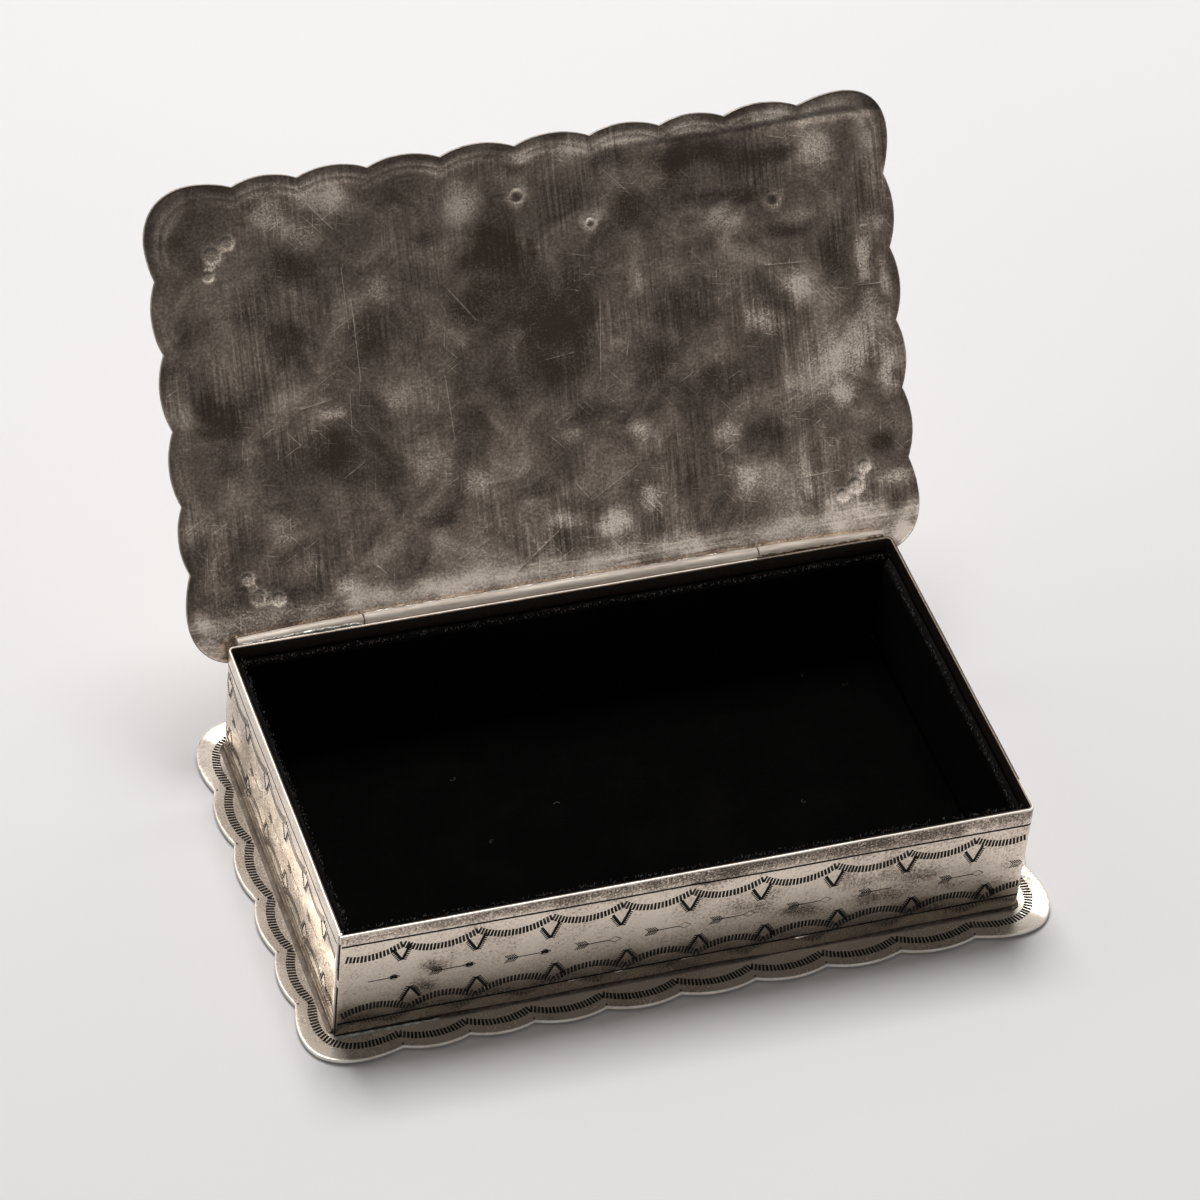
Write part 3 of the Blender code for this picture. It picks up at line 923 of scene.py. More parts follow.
def band_steps(spacing):
    """Places along the strip: close together round the bends, spacing apart between them."""
    steps = []
    start = 0.0
    for bend in (FRONT_RUN, RIGHT_START + SIDE_RUN, BACK_START + BACK_RUN):
        count = max(1, round((bend - start) / spacing))
        steps += [start + (bend - start) * number / count for number in range(count)]
        steps += [bend + QUARTER_BEND * number / 7 for number in range(7)]
        start = bend + QUARTER_BEND
    count = round((BAND_LENGTH - start) / spacing)
    return steps + [start + (BAND_LENGTH - start) * number / count for number in range(count + 1)]


UPPER_JUNCTION = 0.0293
LOWER_JUNCTION = 0.0058
CRESCENT_RISE_SHARE = 0.165
UPPER_TIP = 0.0217
LOWER_TIP = 0.0118
ARROW_LEVEL = 0.0166
FRONT_SAG = 0.0016

# Where the front's stamps stand: (s, t) of each triangle's point, and the arrows as
# (s, t, how rubbed, parts struck)
FRONT_UPPER = (
    (0.0161, 0.0233), (0.0352, 0.0220), (0.0541, 0.0212), (0.0724, 0.0210), (0.0903, 0.0215),
    (0.1090, 0.0208), (0.1282, 0.0206), (0.1475, 0.0209), (0.1655, 0.0201),
)
FRONT_LOWER = (
    (0.0187, 0.0132), (0.0357, 0.0122), (0.0559, 0.0117), (0.0746, 0.0117), (0.0933, 0.0122),
    (0.1109, 0.0113), (0.1303, 0.0117), (0.1501, 0.0112), (0.1700, 0.0108),
)
FRONT_ARROWS = (
    (0.0038, 0.0176, 0.1, "shd"), (0.0231, 0.0171, 0.0, "fshd"), (0.0425, 0.0165, 0.0, "fshd"),
    (0.0607, 0.0163, 0.0, "fsh"), (0.0788, 0.0167, 0.0, "fsh"), (0.0957, 0.0165, 0.1, "fsh"),
    (0.1160, 0.0163, 0.2, "fsh"), (0.1352, 0.0162, 0.1, "fs"), (0.1568, 0.0156, 0.0, "fsh"),
    (0.1757, 0.0165, 0.0, "f"),
)
LEFT_TIPS = (0.0126, 0.0295, 0.0471, 0.0647, 0.0822, 0.0995)


def sag(s):
    """How far the front's stamps and lines drift down from the left end to the right."""
    return FRONT_SAG * min(1.0, s / FRONT_RUN) if s < RIGHT_START else FRONT_SAG / 2


def wall_pattern(marks, start, end, upper, lower, arrows, dice):
    """Stamps one wall: crescents hung between the points above, stood between them below, a
    triangle at each point and a row of arrows along the middle."""
    def within(placed):
        return [mark for mark in placed if all(start < s < end for s, t in mark[0])]

    fine = start > RIGHT_START - BEND_RADIUS * 2
    leg_width = FINE_TICK_WIDTH if fine else LEG_WIDTH
    for tips, level, upwards in ((upper, UPPER_JUNCTION, False), (lower, LOWER_JUNCTION, True)):
        pitch = (tips[-1][0] - tips[0][0]) / (len(tips) - 1)
        ends = [tips[0][0] - pitch, *(s for s, t in tips), tips[-1][0] + pitch]
        for left, right in zip(ends, ends[1:]):
            sunk = 0.0 if upwards else 1.0
            first, last = (left, level - sunk * sag(left)), (right, level - sunk * sag(right))
            if upwards:
                points = [*arc_points(last, first, CRESCENT_RISE_SHARE, 24), first][::-1]
            else:
                points = [*arc_points(first, last, CRESCENT_RISE_SHARE, 24), last]
            marks.add(within(marks_along(points, TICK_LENGTH, dice, 0.2, 0.45, fine)))
    for tips, legs, side in ((upper, UPPER_LEGS, 1), (lower, LOWER_LEGS, -1)):
        for s, t in tips:
            marks.add(within(triangle(s, t, legs, side, dice, leg_width)))
    for s, t, rubbed, parts in arrows:
        marks.add(within(arrow(s, t, dice, rubbed, parts)))


def even_pattern(marks, start, end, places, lower_shift, dice):
    """Stamps a wall whose upper points stand at places."""
    upper = [(s, UPPER_TIP + dice.uniform(-0.0005, 0.0005)) for s in places]
    lower = [(s + lower_shift, LOWER_TIP + dice.uniform(-0.0005, 0.0005)) for s in places]
    middles = [(a + b) / 2 - ARROW_LENGTH / 2 for a, b in zip(places, places[1:])]
    arrows = [(s, ARROW_LEVEL + dice.uniform(-0.0004, 0.0004), 0.05, "fsh") for s in middles]
    wall_pattern(marks, start, end, upper, lower, arrows, dice)


def even_places(start, end, count, dice):
    pitch = (end - start) / count
    return [start + pitch * (number + 0.5) + dice.uniform(-0.0006, 0.0006) for number in range(count)]


LINE_PIECE = 0.006
LINE_LAP = 0.00028
LINE_END = 0.0008


def groove(level, sinks):
    """A line engraved along the whole strip, in short lapping cuts."""
    steps = band_steps(LINE_PIECE)
    ends = [(min(max(s, LINE_END), BAND_LENGTH - LINE_END), level - sinks * sag(s)) for s in steps]
    pairs = [((a[0] - LINE_LAP, a[1]), (b[0] + LINE_LAP, b[1])) for a, b in zip(ends, ends[1:])]
    return [cut(*pair, LINE_WIDTH, LINE_DEPTH) for pair in pairs]


BAND_BLOTCHES = (
    # stains on the front: two by the first triangle, a broad one right of the middle
    (25.5, 19.0, 3.8, 2.6, 0.72), (22.5, 20.5, 2.2, 1.8, 0.36), (21.5, 12.5, 4.0, 2.2, 0.66),
    (24.5, 11.0, 3.4, 2.0, 0.44), (104.0, 19.5, 3.0, 2.5, 0.35), (109.5, 18.0, 4.0, 2.6, 0.50),
    (113.0, 22.5, 3.0, 2.5, 0.35), (117.0, 14.5, 6.0, 2.2, 0.60), (124.0, 12.5, 6.0, 2.0, 0.40),
    (137.0, 20.0, 7.0, 2.2, 0.35), (131.0, 23.5, 3.0, 2.0, 0.25), (143.0, 14.0, 9.0, 2.6, 0.55),
    (152.0, 18.5, 6.0, 2.0, 0.50), (160.0, 13.0, 6.0, 1.6, 0.45), (148.0, 21.0, 4.0, 1.6, 0.30),
    (172.0, 11.0, 6.0, 2.0, 0.25),
    # the darker strips beyond the engraved lines, painted shade below the lower crescents, and three paler patches
    # on the front
    (90.0, 0.8, 140.0, 2.8, 0.12), (90.0, 6.2, 110.0, 1.4, 0.26), (30.0, 34.2, 60.0, 2.2, 0.42),
    (135.0, 34.2, 70.0, 3.6, 0.72), (70.0, 18.0, 20.0, 3.5, -0.10), (8.0, 20.0, 8.0, 6.0, -0.08),
    (170.0, 22.0, 8.0, 3.0, -0.12),
    # the unseen sides
    (215.0, 10.0, 16.0, 4.0, 0.40), (262.0, 24.0, 10.0, 4.0, 0.40), (330.0, 14.0, 26.0, 5.0, 0.45),
    (410.0, 22.0, 18.0, 5.0, 0.42), (330.0, 1.0, 150.0, 2.4, 0.35), (510.0, 9.0, 70.0, 14.0, 0.20),
    (480.0, 22.0, 12.0, 6.0, 0.12),
)


def band_marks():
    dice = random.Random(11)
    marks = Marks()
    marks.add(groove(LINE_FROM_EDGE, -0.3))
    marks.add(groove(WALL_HEIGHT - LINE_FROM_EDGE + 0.0006, 1.0))
    front_end, right_end, back_end = (start - QUARTER_BEND / 2 for start in (RIGHT_START, BACK_START, LEFT_START))
    wall_pattern(marks, 0.0010, front_end, FRONT_UPPER, FRONT_LOWER, FRONT_ARROWS, dice)
    places = even_places(RIGHT_START, RIGHT_START + SIDE_RUN, 5, dice)
    even_pattern(marks, front_end, right_end, places, 0.0015, dice)
    places = even_places(BACK_START, BACK_START + BACK_RUN, 9, dice)
    even_pattern(marks, right_end, back_end, places, -0.0012, dice)
    places = sorted(BAND_LENGTH + WALL_GAUGE + SEAM_SLIT - y for y in LEFT_TIPS)
    even_pattern(marks, back_end, BAND_LENGTH - 0.001, places, 0.0016, dice)
    return marks


WALL_STOPS = (
    (0.0, (0.90, 0.80, 0.685)), (0.28, (0.75, 0.65, 0.55)), (0.55, (0.42, 0.35, 0.29)), (1.0, (0.10, 0.08, 0.066)),
)
INNER_WALL_STOPS = ((0.0, (0.22, 0.175, 0.14)), (0.5, (0.10, 0.078, 0.062)), (1.0, (0.04, 0.030, 0.024)))
# Heights between which solder fills the seam, and those left open, where the cut end is painted black as the
# slit's shade
SEAM_FILLED = {"upper": (0.0333, WALL_HEIGHT - 0.0002), "middle": (0.0182, 0.0225)}
SEAM_DARK = ((-0.001, 0.0182), (0.0225, 0.0333))
RIM_DULL = (RIGHT_START + 0.012, BACK_START + 0.037)  # along the strip


def band_edge_slot(s, t, depth):
    """The band's cut end is painted black in the open seam, as shade in the slit, and bright with solder between.
    Its rim has a painted highlight, the pale edge finish, on its outer half; its inner half, and all of it towards
    the back right corner, is the dark inner silver."""
    if s < 0.0001 and any(low <= t < high for low, high in SEAM_DARK):
        return MARK
    on_rim = t > WALL_HEIGHT - 0.0001
    dull = depth > WALL_GAUGE * 0.6 or RIM_DULL[0] < s < RIM_DULL[1]
    return BACK if on_rim and dull else EDGE


def add_band():
    edge_steps = band_steps(0.0030)
    rises = [WALL_HEIGHT * number / 14 for number in range(1, 14)]
    outline = [(s, 0.0) for s in edge_steps] + [(BAND_LENGTH, t) for t in rises]
    outline += [(s, WALL_HEIGHT) for s in reversed(edge_steps)] + [(0.0, t) for t in reversed(rises)]
    steps = band_steps(0.0018)[1:-1]
    rows = 20
    points = []
    for column, s in enumerate(steps):
        heights = [WALL_HEIGHT * (row + 0.25 * (column % 2)) / rows for row in range(1, rows)]
        points += [(s, t, 0.0, 0.0) for t in heights if t < WALL_HEIGHT - 0.0008]
    inner_points = [(s, WALL_HEIGHT * row / 8, 0.0, 0.0) for s in steps for row in range(1, 8)]
    # paler insides of the lower triangles: rubbed wear and a painted highlight
    rubbed = tuple((s / MM + 0.2, t / MM - 2.7, 1.0, 1.3, -0.45) for s, t in FRONT_LOWER)
    front = (band_marks(), points, waves(2, 0.022, 0.00014), blotches(BAND_BLOTCHES + rubbed))
    back = (Marks(), inner_points, waves(5, 0.025, 0.00008), blotches(((330, 20, 150, 30, 0.2),)))
    wall = silver_material("wall_silver", WALL_STOPS, 0.17, (0.16, 0.50), 1.4, 1.9, 0.8)
    inner = silver_material("inner_wall_silver", INNER_WALL_STOPS, 0.45, (0.35, 0.55))
    materials = sheet_materials(wall, inner)
    sizes = (outline, band_place, WALL_GAUGE, RIM_ROUND)
    band = add_sheet("stamped_band", *sizes, front, back, materials, band_edge_slot)
    finish_piece(band, "box", "silver_band", "side_band")


# Plates

CRESCENT_INSET = 0.0044
CRESCENT_PLATE_RISE = 0.130
EDGE_ROWS = [0.0007 + 0.0006 * number for number in range(12)]


def row_points(lobes_at, ridge, step=1):
    """Points in rows that follow the lobes, each row further in from the edge, with the height
    and the darkness that ridge gives at that distance. step thins each row out."""
    points = []
    for number, inset in enumerate(EDGE_ROWS):
        share = LOBE_RISE_SHARE + (CRESCENT_PLATE_RISE - LOBE_RISE_SHARE) * min(1.0, inset / CRESCENT_INSET)
        for lobe in lobes_at(inset, share):
            points += [(x, y, *ridge(inset, x, y)) for x, y in lobe[number % step::step]]
    return points


def grid_points(lobes_at, inset, spacing, hollows=()):
    """Points spread evenly inside the plate's outline moved in by inset, but for round hollows."""
    outline = joined(lobes_at(inset, CRESCENT_PLATE_RISE))
    low = [min(point[axis] for point in outline) for axis in (0, 1)]
    high = [max(point[axis] for point in outline) for axis in (0, 1)]
    points = []
    for row in range(int((high[1] - low[1]) / spacing) + 1):
        for column in range(int((high[0] - low[0]) / spacing) + 1):
            x, y = low[0] + (column + 0.5 * (row % 2)) * spacing, low[1] + row * spacing
            in_hollow = any(math.hypot(x - hx, y - hy) < reach for hx, hy, reach in hollows)
            if not in_hollow and is_inside(x, y, outline):
                points.append((x, y, 0.0, 0.0))
    return points


def plate_crescents(marks, lobes, dice):
    for number, lobe in enumerate(lobes):
        points = [*lobe, lobes[(number + 1) % len(lobes)][0]]
        marks.add(marks_along(points, TICK_LENGTH, dice, 0.2, 0.25))


NOTCH_PIT_INSET = 0.00075


def notch_pits(marks, lobes):
    """Small dark pits where the saw stopped at each notch."""
    marks.add([wedge(*lobe[0], number * 1.3, 0.00060, 0.00046, 0.00025) for number, lobe in enumerate(lobes)])


def flat_ridge(inset, x, y):
    return 0.0, 0.0


# Patches of the base's top face, as blotches takes them. The first lightens the whole front margin, painted light
# where the front wall shades it.
BASE_BLOTCHES = (
    (0, -55.0, 97, 4.5, -0.26), (-84, -50, 12, 9, 0.12), (-92, -36, 5, 6, 0.22), (-70, -57, 8, 3, 0.10),
    (88, -45, 6, 5, -0.25), (95, -42, 3, 6, 0.45), (-94, 24, 5, 26, 0.04), (-92, 55, 9, 9, 0.26),
    (40, -56, 12, 3, -0.10),
)
BASE_STOPS = (
    (0.0, (0.86, 0.78, 0.69)), (0.28, (0.70, 0.62, 0.53)),
    (0.55, (0.40, 0.335, 0.285)), (1.0, (0.11, 0.09, 0.075)),
)
BASE_OVERHANG = (BASE_WIDTH - BOX_WIDTH) / 2
LOBE_LIFT = 0.0005


def base_place(x, y, depth):
    """The lobes bend up a little from the walls to the plate's edge."""
    out = max(abs(x) - BOX_LENGTH / 2, abs(y) - BOX_WIDTH / 2, 0.0) / BASE_OVERHANG
    return (x, y, PLATE_GAUGE - depth + LOBE_LIFT * out**1.5)


def add_base():
    outline = joined(base_lobes())
    marks = Marks(inset_outline(outline, EDGE_ROUND))
    plate_crescents(marks, base_lobes(CRESCENT_INSET, CRESCENT_PLATE_RISE), random.Random(23))
    notch_pits(marks, base_lobes(NOTCH_PIT_INSET))
    points = row_points(base_lobes, flat_ridge) + grid_points(base_lobes, 0.0085, 0.0040)
    front = (marks, points, waves(8, 0.015, 0.00005), blotches(BASE_BLOTCHES))
    back = (Marks(), grid_points(base_lobes, 0.002, 0.0060), plain, plain)
    top = silver_material("base_silver", BASE_STOPS, 0.22, (0.24, 0.40), 1.3, 1.7, 0.4, metallic=0.7)
    under = silver_material("under_silver", UNDER_STOPS, 0.45, (0.4, 0.6), 1.2, 0.8, 0.8)
    materials = sheet_materials(top, under)
    plate = add_sheet("scalloped_base", outline, base_place, PLATE_GAUGE, EDGE_ROUND, front, back, materials)
    finish_piece(plate, "box", "silver_plate", "base_plate")


def lid_place(x, y, depth):
    return LID_TURN @ Vector((x, y, STAND_OFF + PLATE_GAUGE - depth))


# Bosses that the round punches raised on the inner face, three and their bridges by each of
# three corners, and shallow rings round a pit: millimetres from the hinge axis, radius, height
BOSSES = (
    (-82.0, -14.7, 1.9, 0.42), (-79.8, -9.6, 2.5, 0.50), (-74.5, -8.5, 2.0, 0.42),
    (-81.0, -12.2, 1.4, 0.34), (-77.2, -8.8, 1.3, 0.34),
    (85.6, -18.1, 2.0, 0.40), (82.9, -13.2, 2.5, 0.48), (79.0, -11.2, 1.9, 0.36), (84.3, -15.6, 1.3, 0.30),
    (-81.5, -98.0, 2.5, 0.40), (-77.3, -100.6, 2.0, 0.36), (-82.9, -93.0, 1.6, 0.32), (-82.4, -95.6, 1.3, 0.28),
)
RINGS = ((-0.9, -102.2, 1.9, 0.06), (67.4, -91.8, 1.9, 0.06), (17.9, -92.6, 1.3, 0.04))
BOSS_SHARE = 0.30  # of those heights that is left after wear


def punch_relief(x, y):
    """Height of the bosses and rings at a place, in metres."""
    height = 0.0
    for middle_x, middle_y, radius, high in BOSSES:
        away = math.hypot(x - middle_x * MM, y - middle_y * MM) / (radius * MM)
        if away < 1.2:
            height = max(height, BOSS_SHARE * high * (1 - smooth_step(0.55, 1.10, away)))
    for middle_x, middle_y, radius, high in RINGS:
        away = math.hypot(x - middle_x * MM, y - middle_y * MM) / (radius * MM)
        if away < 1.6:
            height += high * (bell(away, 0.95, 0.25) - bell(away, 0.0, 0.5))
    return height * MM


def lid_inner_relief(x, y):
    sway = 0.00020 * noise.noise(Vector((x, y, 0)) / 0.030) + 0.00008 * noise.noise(Vector((x, y, 3)) / 0.011)
    crease_y = -0.1098 - 0.0012 * smooth_step(0.05, 0.085, x)
    return sway + 0.00014 * bell(y, crease_y, 0.0009) * smooth_step(0.02, 0.05, x) + punch_relief(x, y)


def lid_outer_relief(x, y):
    return 0.00012 * noise.noise(Vector((x, y, 7)) / 0.030) - 0.9 * punch_relief(x, y)


def ghost_ridge(inset, x, y):
    """Faint steps that the crescents of the outer face leave along the inner one, with painted reflections in arcs
    beside them, a dark one by the edge and pale ones further in, plainest along its front edge."""
    share = (0.40 + 0.60 * smooth_step(-0.092, -0.102, y)) * (1 + 0.8 * noise.noise((x / 0.009, y / 0.009, 6)))
    inset = inset / MM
    height = 0.022 * bell(inset, 2.6, 0.7) + 0.022 * bell(inset, 4.4, 0.8)
    dark = 0.10 * bell(inset, 0.8, 0.9) - 0.24 * bell(inset, 2.9, 0.8)
    dark = dark + 0.08 * bell(inset, 3.7, 0.3) - 0.20 * bell(inset, 4.7, 0.8)
    return height * MM * share, dark * share


def punch_tone_and_highlight(x, y):
    """The bosses' paler tops, with a painted highlight round their rims, strongest to the right and front and
    faint behind.
    """
    x, y = x / MM, y / MM
    near = [(math.hypot(x - boss[0], y - boss[1]) / boss[2], boss) for boss in BOSSES]
    value = 0.0
    for away, (middle_x, middle_y, radius, _) in near:
        if away < 1.6:
            facing = ((x - middle_x) - (y - middle_y)) / (1.41 * radius)
            covered = min(share for share, other in near if other[0] != middle_x)
            # painted highlight round each boss's rim, strongest on its right and front side
            rim = bell(away, 1.0, 0.20) * smooth_step(0.75, 1.0, covered)
            pale = 0.42 if middle_x > 0 or middle_y > -50 else 0.30
            value -= 0.55 * rim * (0.60 + 0.40 * facing) + pale * (1 - smooth_step(0.7, 1.0, away))
    for middle_x, middle_y, radius, _ in RINGS:
        away = math.hypot(x - middle_x, y - middle_y) / radius
        if away < 2:
            value += 0.36 * bell(away, 0.0, 0.42) - 0.26 * bell(away, 1.1, 0.55)
    return value


def feature_points(around=18):
    """Close points over the bosses and rings, so that their slopes are really there."""
    points = []
    kept = []
    for x, y, radius, _ in BOSSES + RINGS:
        for number, ring in enumerate((0.0, 0.3, 0.5, 0.68, 0.84, 1.0, 1.2)):
            for step in range(around if number else 1):
                angle = math.tau * (step + 0.5 * (number % 2)) / around
                place = (x + ring * radius * math.cos(angle), y + ring * radius * math.sin(angle))
                if all(math.dist(place, other[:2]) > 1.28 * other[2] for other in kept):
                    points.append((place[0] * MM, place[1] * MM, 0.0, 0.0))
        kept.append((x, y, radius))
    return points


# Patches of the lid's inner face, rubbed bright (negative) or stained dark, as blotches takes them. The last row
# adds broad paler fields towards the hinge and the right, a darker left end by the hinge, and painted shade in a
# thin strip along the hinge tube.
LID_PATCHES = (
    (-66, -107, 6.5, 4, -.58), (-51, -108, 5.5, 3.5, -.48), (-58, -100, 6.5, 3.5, -.44), (-40, -83, 4.5, 4, -.40),
    (-33, -103, 2, 1.5, -.30), (-15, -102, 3.8, 5.0, -.62), (1, -112, 4, 1.7, -.35), (19, -94, 3.5, 2, -.50),
    (14, -112, 5, 2.2, -.35), (30, -112, 8, 2.3, -.40), (47, -112, 8, 2.5, -.35), (68, -113, 8, 2.3, -.50),
    (80, -103, 4.6, 4, -.45), (94, -103, 2.2, 5.5, -.30), (52, -89, 6, 3.5, -.50), (75, -86, 3.7, 3, -.30),
    (94, -82, 2.2, 3, -.35), (91, -73, 2.0, 6.5, -.80), (91, -61, 2.4, 4.5, -.55), (96, -66, 1.3, 6, -.50),
    (29, -75, 2.2, 3.5, -.30), (73, -67, 3.7, 4, -.50), (62, -60, 6, 3.5, -.50), (80, -47, 9, 8, -.40),
    (88, -52, 3.7, 5.5, -.40), (95, -43, 2.2, 6, -.60), (83, -38, 3.2, 3, -.60), (26, -37, 2.7, 4, -.60),
    (49, -33, 3.2, 2.3, -.40), (8, -39, 4.2, 2.3, -.35), (54, -19, 6.3, 4.5, -.36), (68, -20, 3.2, 7, -.26),
    (93, -14, 5.2, 1.7, -.35), (95, 1, 2.7, 2.8, -.55), (16, -14, 4, 2.8, -.60), (27, -19, 2.7, 2.8, -.50),
    (2, -17, 6.5, 2.8, -.40), (-54, -54, 3.2, 1.2, -.60), (-19, -31, 3.7, 4, -.45), (-31, -38, 5.2, 5.5, -.25),
    (-56, -9, 5.2, 2.3, -.45), (-71, -24, 4, 4.2, -.30), (-39, -56, 3.2, 3.4, -.30), (-95, -5, 2.7, 3.4, -.40),
    (-62, -92, 8.5, 5, .35), (-73, -83, 5, 5.5, .30), (-64, -73, 6.5, 7, .35), (-27, -94, 3.7, 2.3, .35),
    (-8, -89, 9, 6, .40), (-15, -76, 6.5, 6, .40), (2, -75, 10, 11, .35), (-45, -74, 5, 5.5, .25),
    (28, -95, 3.7, 4, .50), (46, -106, 10, 2.8, .45), (69, -103, 8, 2.3, .45), (25, -108, 6.5, 2.8, .35),
    (55, -94, 11.5, 1.7, .40), (71, -83, 8, 1.7, .40), (83, -74, 4, 7, .40), (7, -62, 10, 11, .40),
    (43, -69, 8, 7, .20), (33, -54, 6.5, 5.5, .30), (49, -47, 8, 4.2, .35), (59, -32, 5.2, 2.8, .40),
    (91, -24, 3.2, 2.8, .40), (94, -7, 2.7, 3.4, .45), (-2, -26, 4, 2.8, .35), (-31, -22, 5.2, 3.4, .35),
    (-54, -44, 5.2, 4, .30), (-82, -58, 8, 8, .30), (-82, -43, 5.2, 4.2, .25), (-70, -19, 3.7, 2.8, .30),
    (-10, -53, 6.5, 7, .30), (13, -44, 5.2, 5.5, .20), (30, 0, 100, 16, -.14), (80, -45, 24, 48, -.10),
    (-84, -5, 24, 7, .36), (0, -2, 110, 2.0, .26),
)
# Long scratches on the inner face, from (x, y) to (x, y) in millimetres
SCRATCHES = (
    (-48.5, -90.6, -48.3, -74.4), (-46.9, -81.9, -46.7, -60.7), (-21.6, -81.2, -14.9, -72.0),
    (-54.8, -106.6, -49.5, -100.4), (24.1, -28.0, 11.1, -20.8), (6.8, -26.2, 10.3, -21.4),
    (-49.9, -57.8, -50.4, -48.8), (2.2, -59.0, 10.4, -59.8), (67.8, -17.6, 79.0, -18.0),
    (63.8, -74.7, 73.4, -74.1), (-10.4, -5.7, 1.4, -14.4), (-26.0, -10.9, -17.5, -14.8),
    (-63.3, -56.0, -55.3, -57.3), (-53.7, -36.8, -48.0, -40.1), (24.2, -57.0, 25.1, -60.8),
    (-24.6, -59.1, -23.8, -42.1), (18.5, -72.2, 16.5, -51.6), (88.6, -65.8, 94.8, -65.5),
)
SCRATCH_CUT = (0.00017, 0.000008)
PATCH_SHARE = 0.84  # of the patches' darkness that shows


def scratch_marks():
    marks = Marks(joined(lid_lobes(0.0012)))
    for x1, y1, x2, y2 in SCRATCHES:
        marks.add([cut((x1 * MM, y1 * MM), (x2 * MM, y2 * MM), *SCRATCH_CUT)])
    return marks


def oval_marks(marks, radius_x, radius_y, count, first, stamp):
    """Repeats a stamp round an oval, turned square to it: stamp(x, y, turn) gives its marks."""
    for number in range(count):
        angle = math.tau * (number + first) / count
        x, y = LID_SIDE_SHIFT + radius_x * math.cos(angle), LID_BACK_SHIFT + radius_y * math.sin(angle)
        marks.add(stamp(x, y, math.atan2(math.sin(angle) / radius_y, math.cos(angle) / radius_x)))


FRAME_INSET = 0.0105
FRAME_CORNER = 0.0040
FRAME_LAP = 0.00025


def frame_line():
    """A line engraved round the lid's outer face, its corners cut off, in short lapping cuts."""
    frame_x, frame_y = LID_LENGTH / 2 - FRAME_INSET, LID_WIDTH / 2 - FRAME_INSET
    ring, marks = [], []
    for side_x, side_y in ((1, -1), (1, 1), (-1, 1), (-1, -1)):
        on_long = (side_x * (frame_x - FRAME_CORNER), side_y * frame_y)
        on_short = (side_x * frame_x, side_y * (frame_y - FRAME_CORNER))
        ring += [on_long, on_short] if side_x * side_y < 0 else [on_short, on_long]
    shift = Vector(LID_SHIFT)
    for start, end in zip(ring, [*ring[1:], ring[0]]):
        pieces = max(1, round(math.dist(start, end) / LINE_PIECE))
        stops = [Vector(start).lerp(end, piece / pieces) for piece in range(pieces + 1)]
        lap = (Vector(end) - Vector(start)).normalized() * FRAME_LAP
        marks += [cut(a + shift - lap, b + shift + lap, LINE_WIDTH, LINE_DEPTH) for a, b in zip(stops, stops[1:])]
    return marks


def petal(x, y, turn):
    along = Vector((math.cos(turn), math.sin(turn)))
    across = Vector((-along.y, along.x))
    tip, foot = Vector((x, y)) + along * 0.0024, Vector((x, y)) - along * 0.0022
    ends = [(tip + across * 0.0001 * side, foot + across * 0.0023 * side) for side in (-1, 1)]
    legs = [cut(*pair, LEG_WIDTH, 0.00012) for pair in ends]
    return [*legs, wedge(x, y, turn, 0.0016, 0.0007, 0.00015)]


def outer_lid_marks(outline, dice):
    """The outer face, unseen in the photograph: the base's crescents round its border, a frame
    line, an oval rosette of the same punches, and arrows and wedges beside it."""
    marks = Marks(inset_outline(outline, EDGE_ROUND))
    plate_crescents(marks, lid_lobes(CRESCENT_INSET, CRESCENT_PLATE_RISE), dice)
    notch_pits(marks, lid_lobes(NOTCH_PIT_INSET))
    marks.add(frame_line())

    def tick(length, rubbed):
        size = (length, TICK_WIDTH, TICK_DEPTH)
        return lambda x, y, turn: [wedge(x, y, turn, *size, rubbed + dice.uniform(0, 0.12))]

    def ray(x, y, turn):
        return [wedge(x, y, turn, 0.0044, 0.0011, 0.0002, 0.0, 0.6)]

    for half_x, half_y, count, first, stamp in (
        (0.0400, 0.0270, 132, 0, tick(0.0021, 0.0)),
        (0.0210, 0.0135, 66, 0, tick(0.0018, 0.1)),
        (0.0315, 0.0208, 16, 0.5, petal),
        (0.0105, 0.0066, 8, 0, ray),
    ):
        oval_marks(marks, half_x, half_y, count, first, stamp)
    for side in (-1, 1):
        for number in range(6):
            row, up = number // 2, 1 if number % 2 else -1
            x, y = side * (0.0560 + row * 0.0085), up * (0.0270 - row * 0.0020)
            turn = math.atan2(up * 0.5, side)
            marks.add([wedge(x + LID_SIDE_SHIFT, y + LID_BACK_SHIFT, turn, 0.0050, 0.0010, 0.00018, 0.05, 0.5)])
        for number in range(3):
            start = 0.0490 + number * 0.0125
            s = start if side > 0 else -start - ARROW_LENGTH
            marks.add(arrow(s + LID_SIDE_SHIFT, LID_BACK_SHIFT, dice))
    return marks


LID_INNER_STOPS = (
    (0.0, (0.92, 0.80, 0.69)), (0.14, (0.70, 0.60, 0.51)), (0.34, (0.42, 0.35, 0.292)),
    (0.57, (0.22, 0.176, 0.145)), (0.80, (0.120, 0.093, 0.076)), (1.0, (0.070, 0.053, 0.043)),
)
SCRATCH_STOPS = ((0.0, (0.80, 0.72, 0.63)), (0.5, (0.52, 0.45, 0.38)), (1.0, (0.22, 0.18, 0.15)))


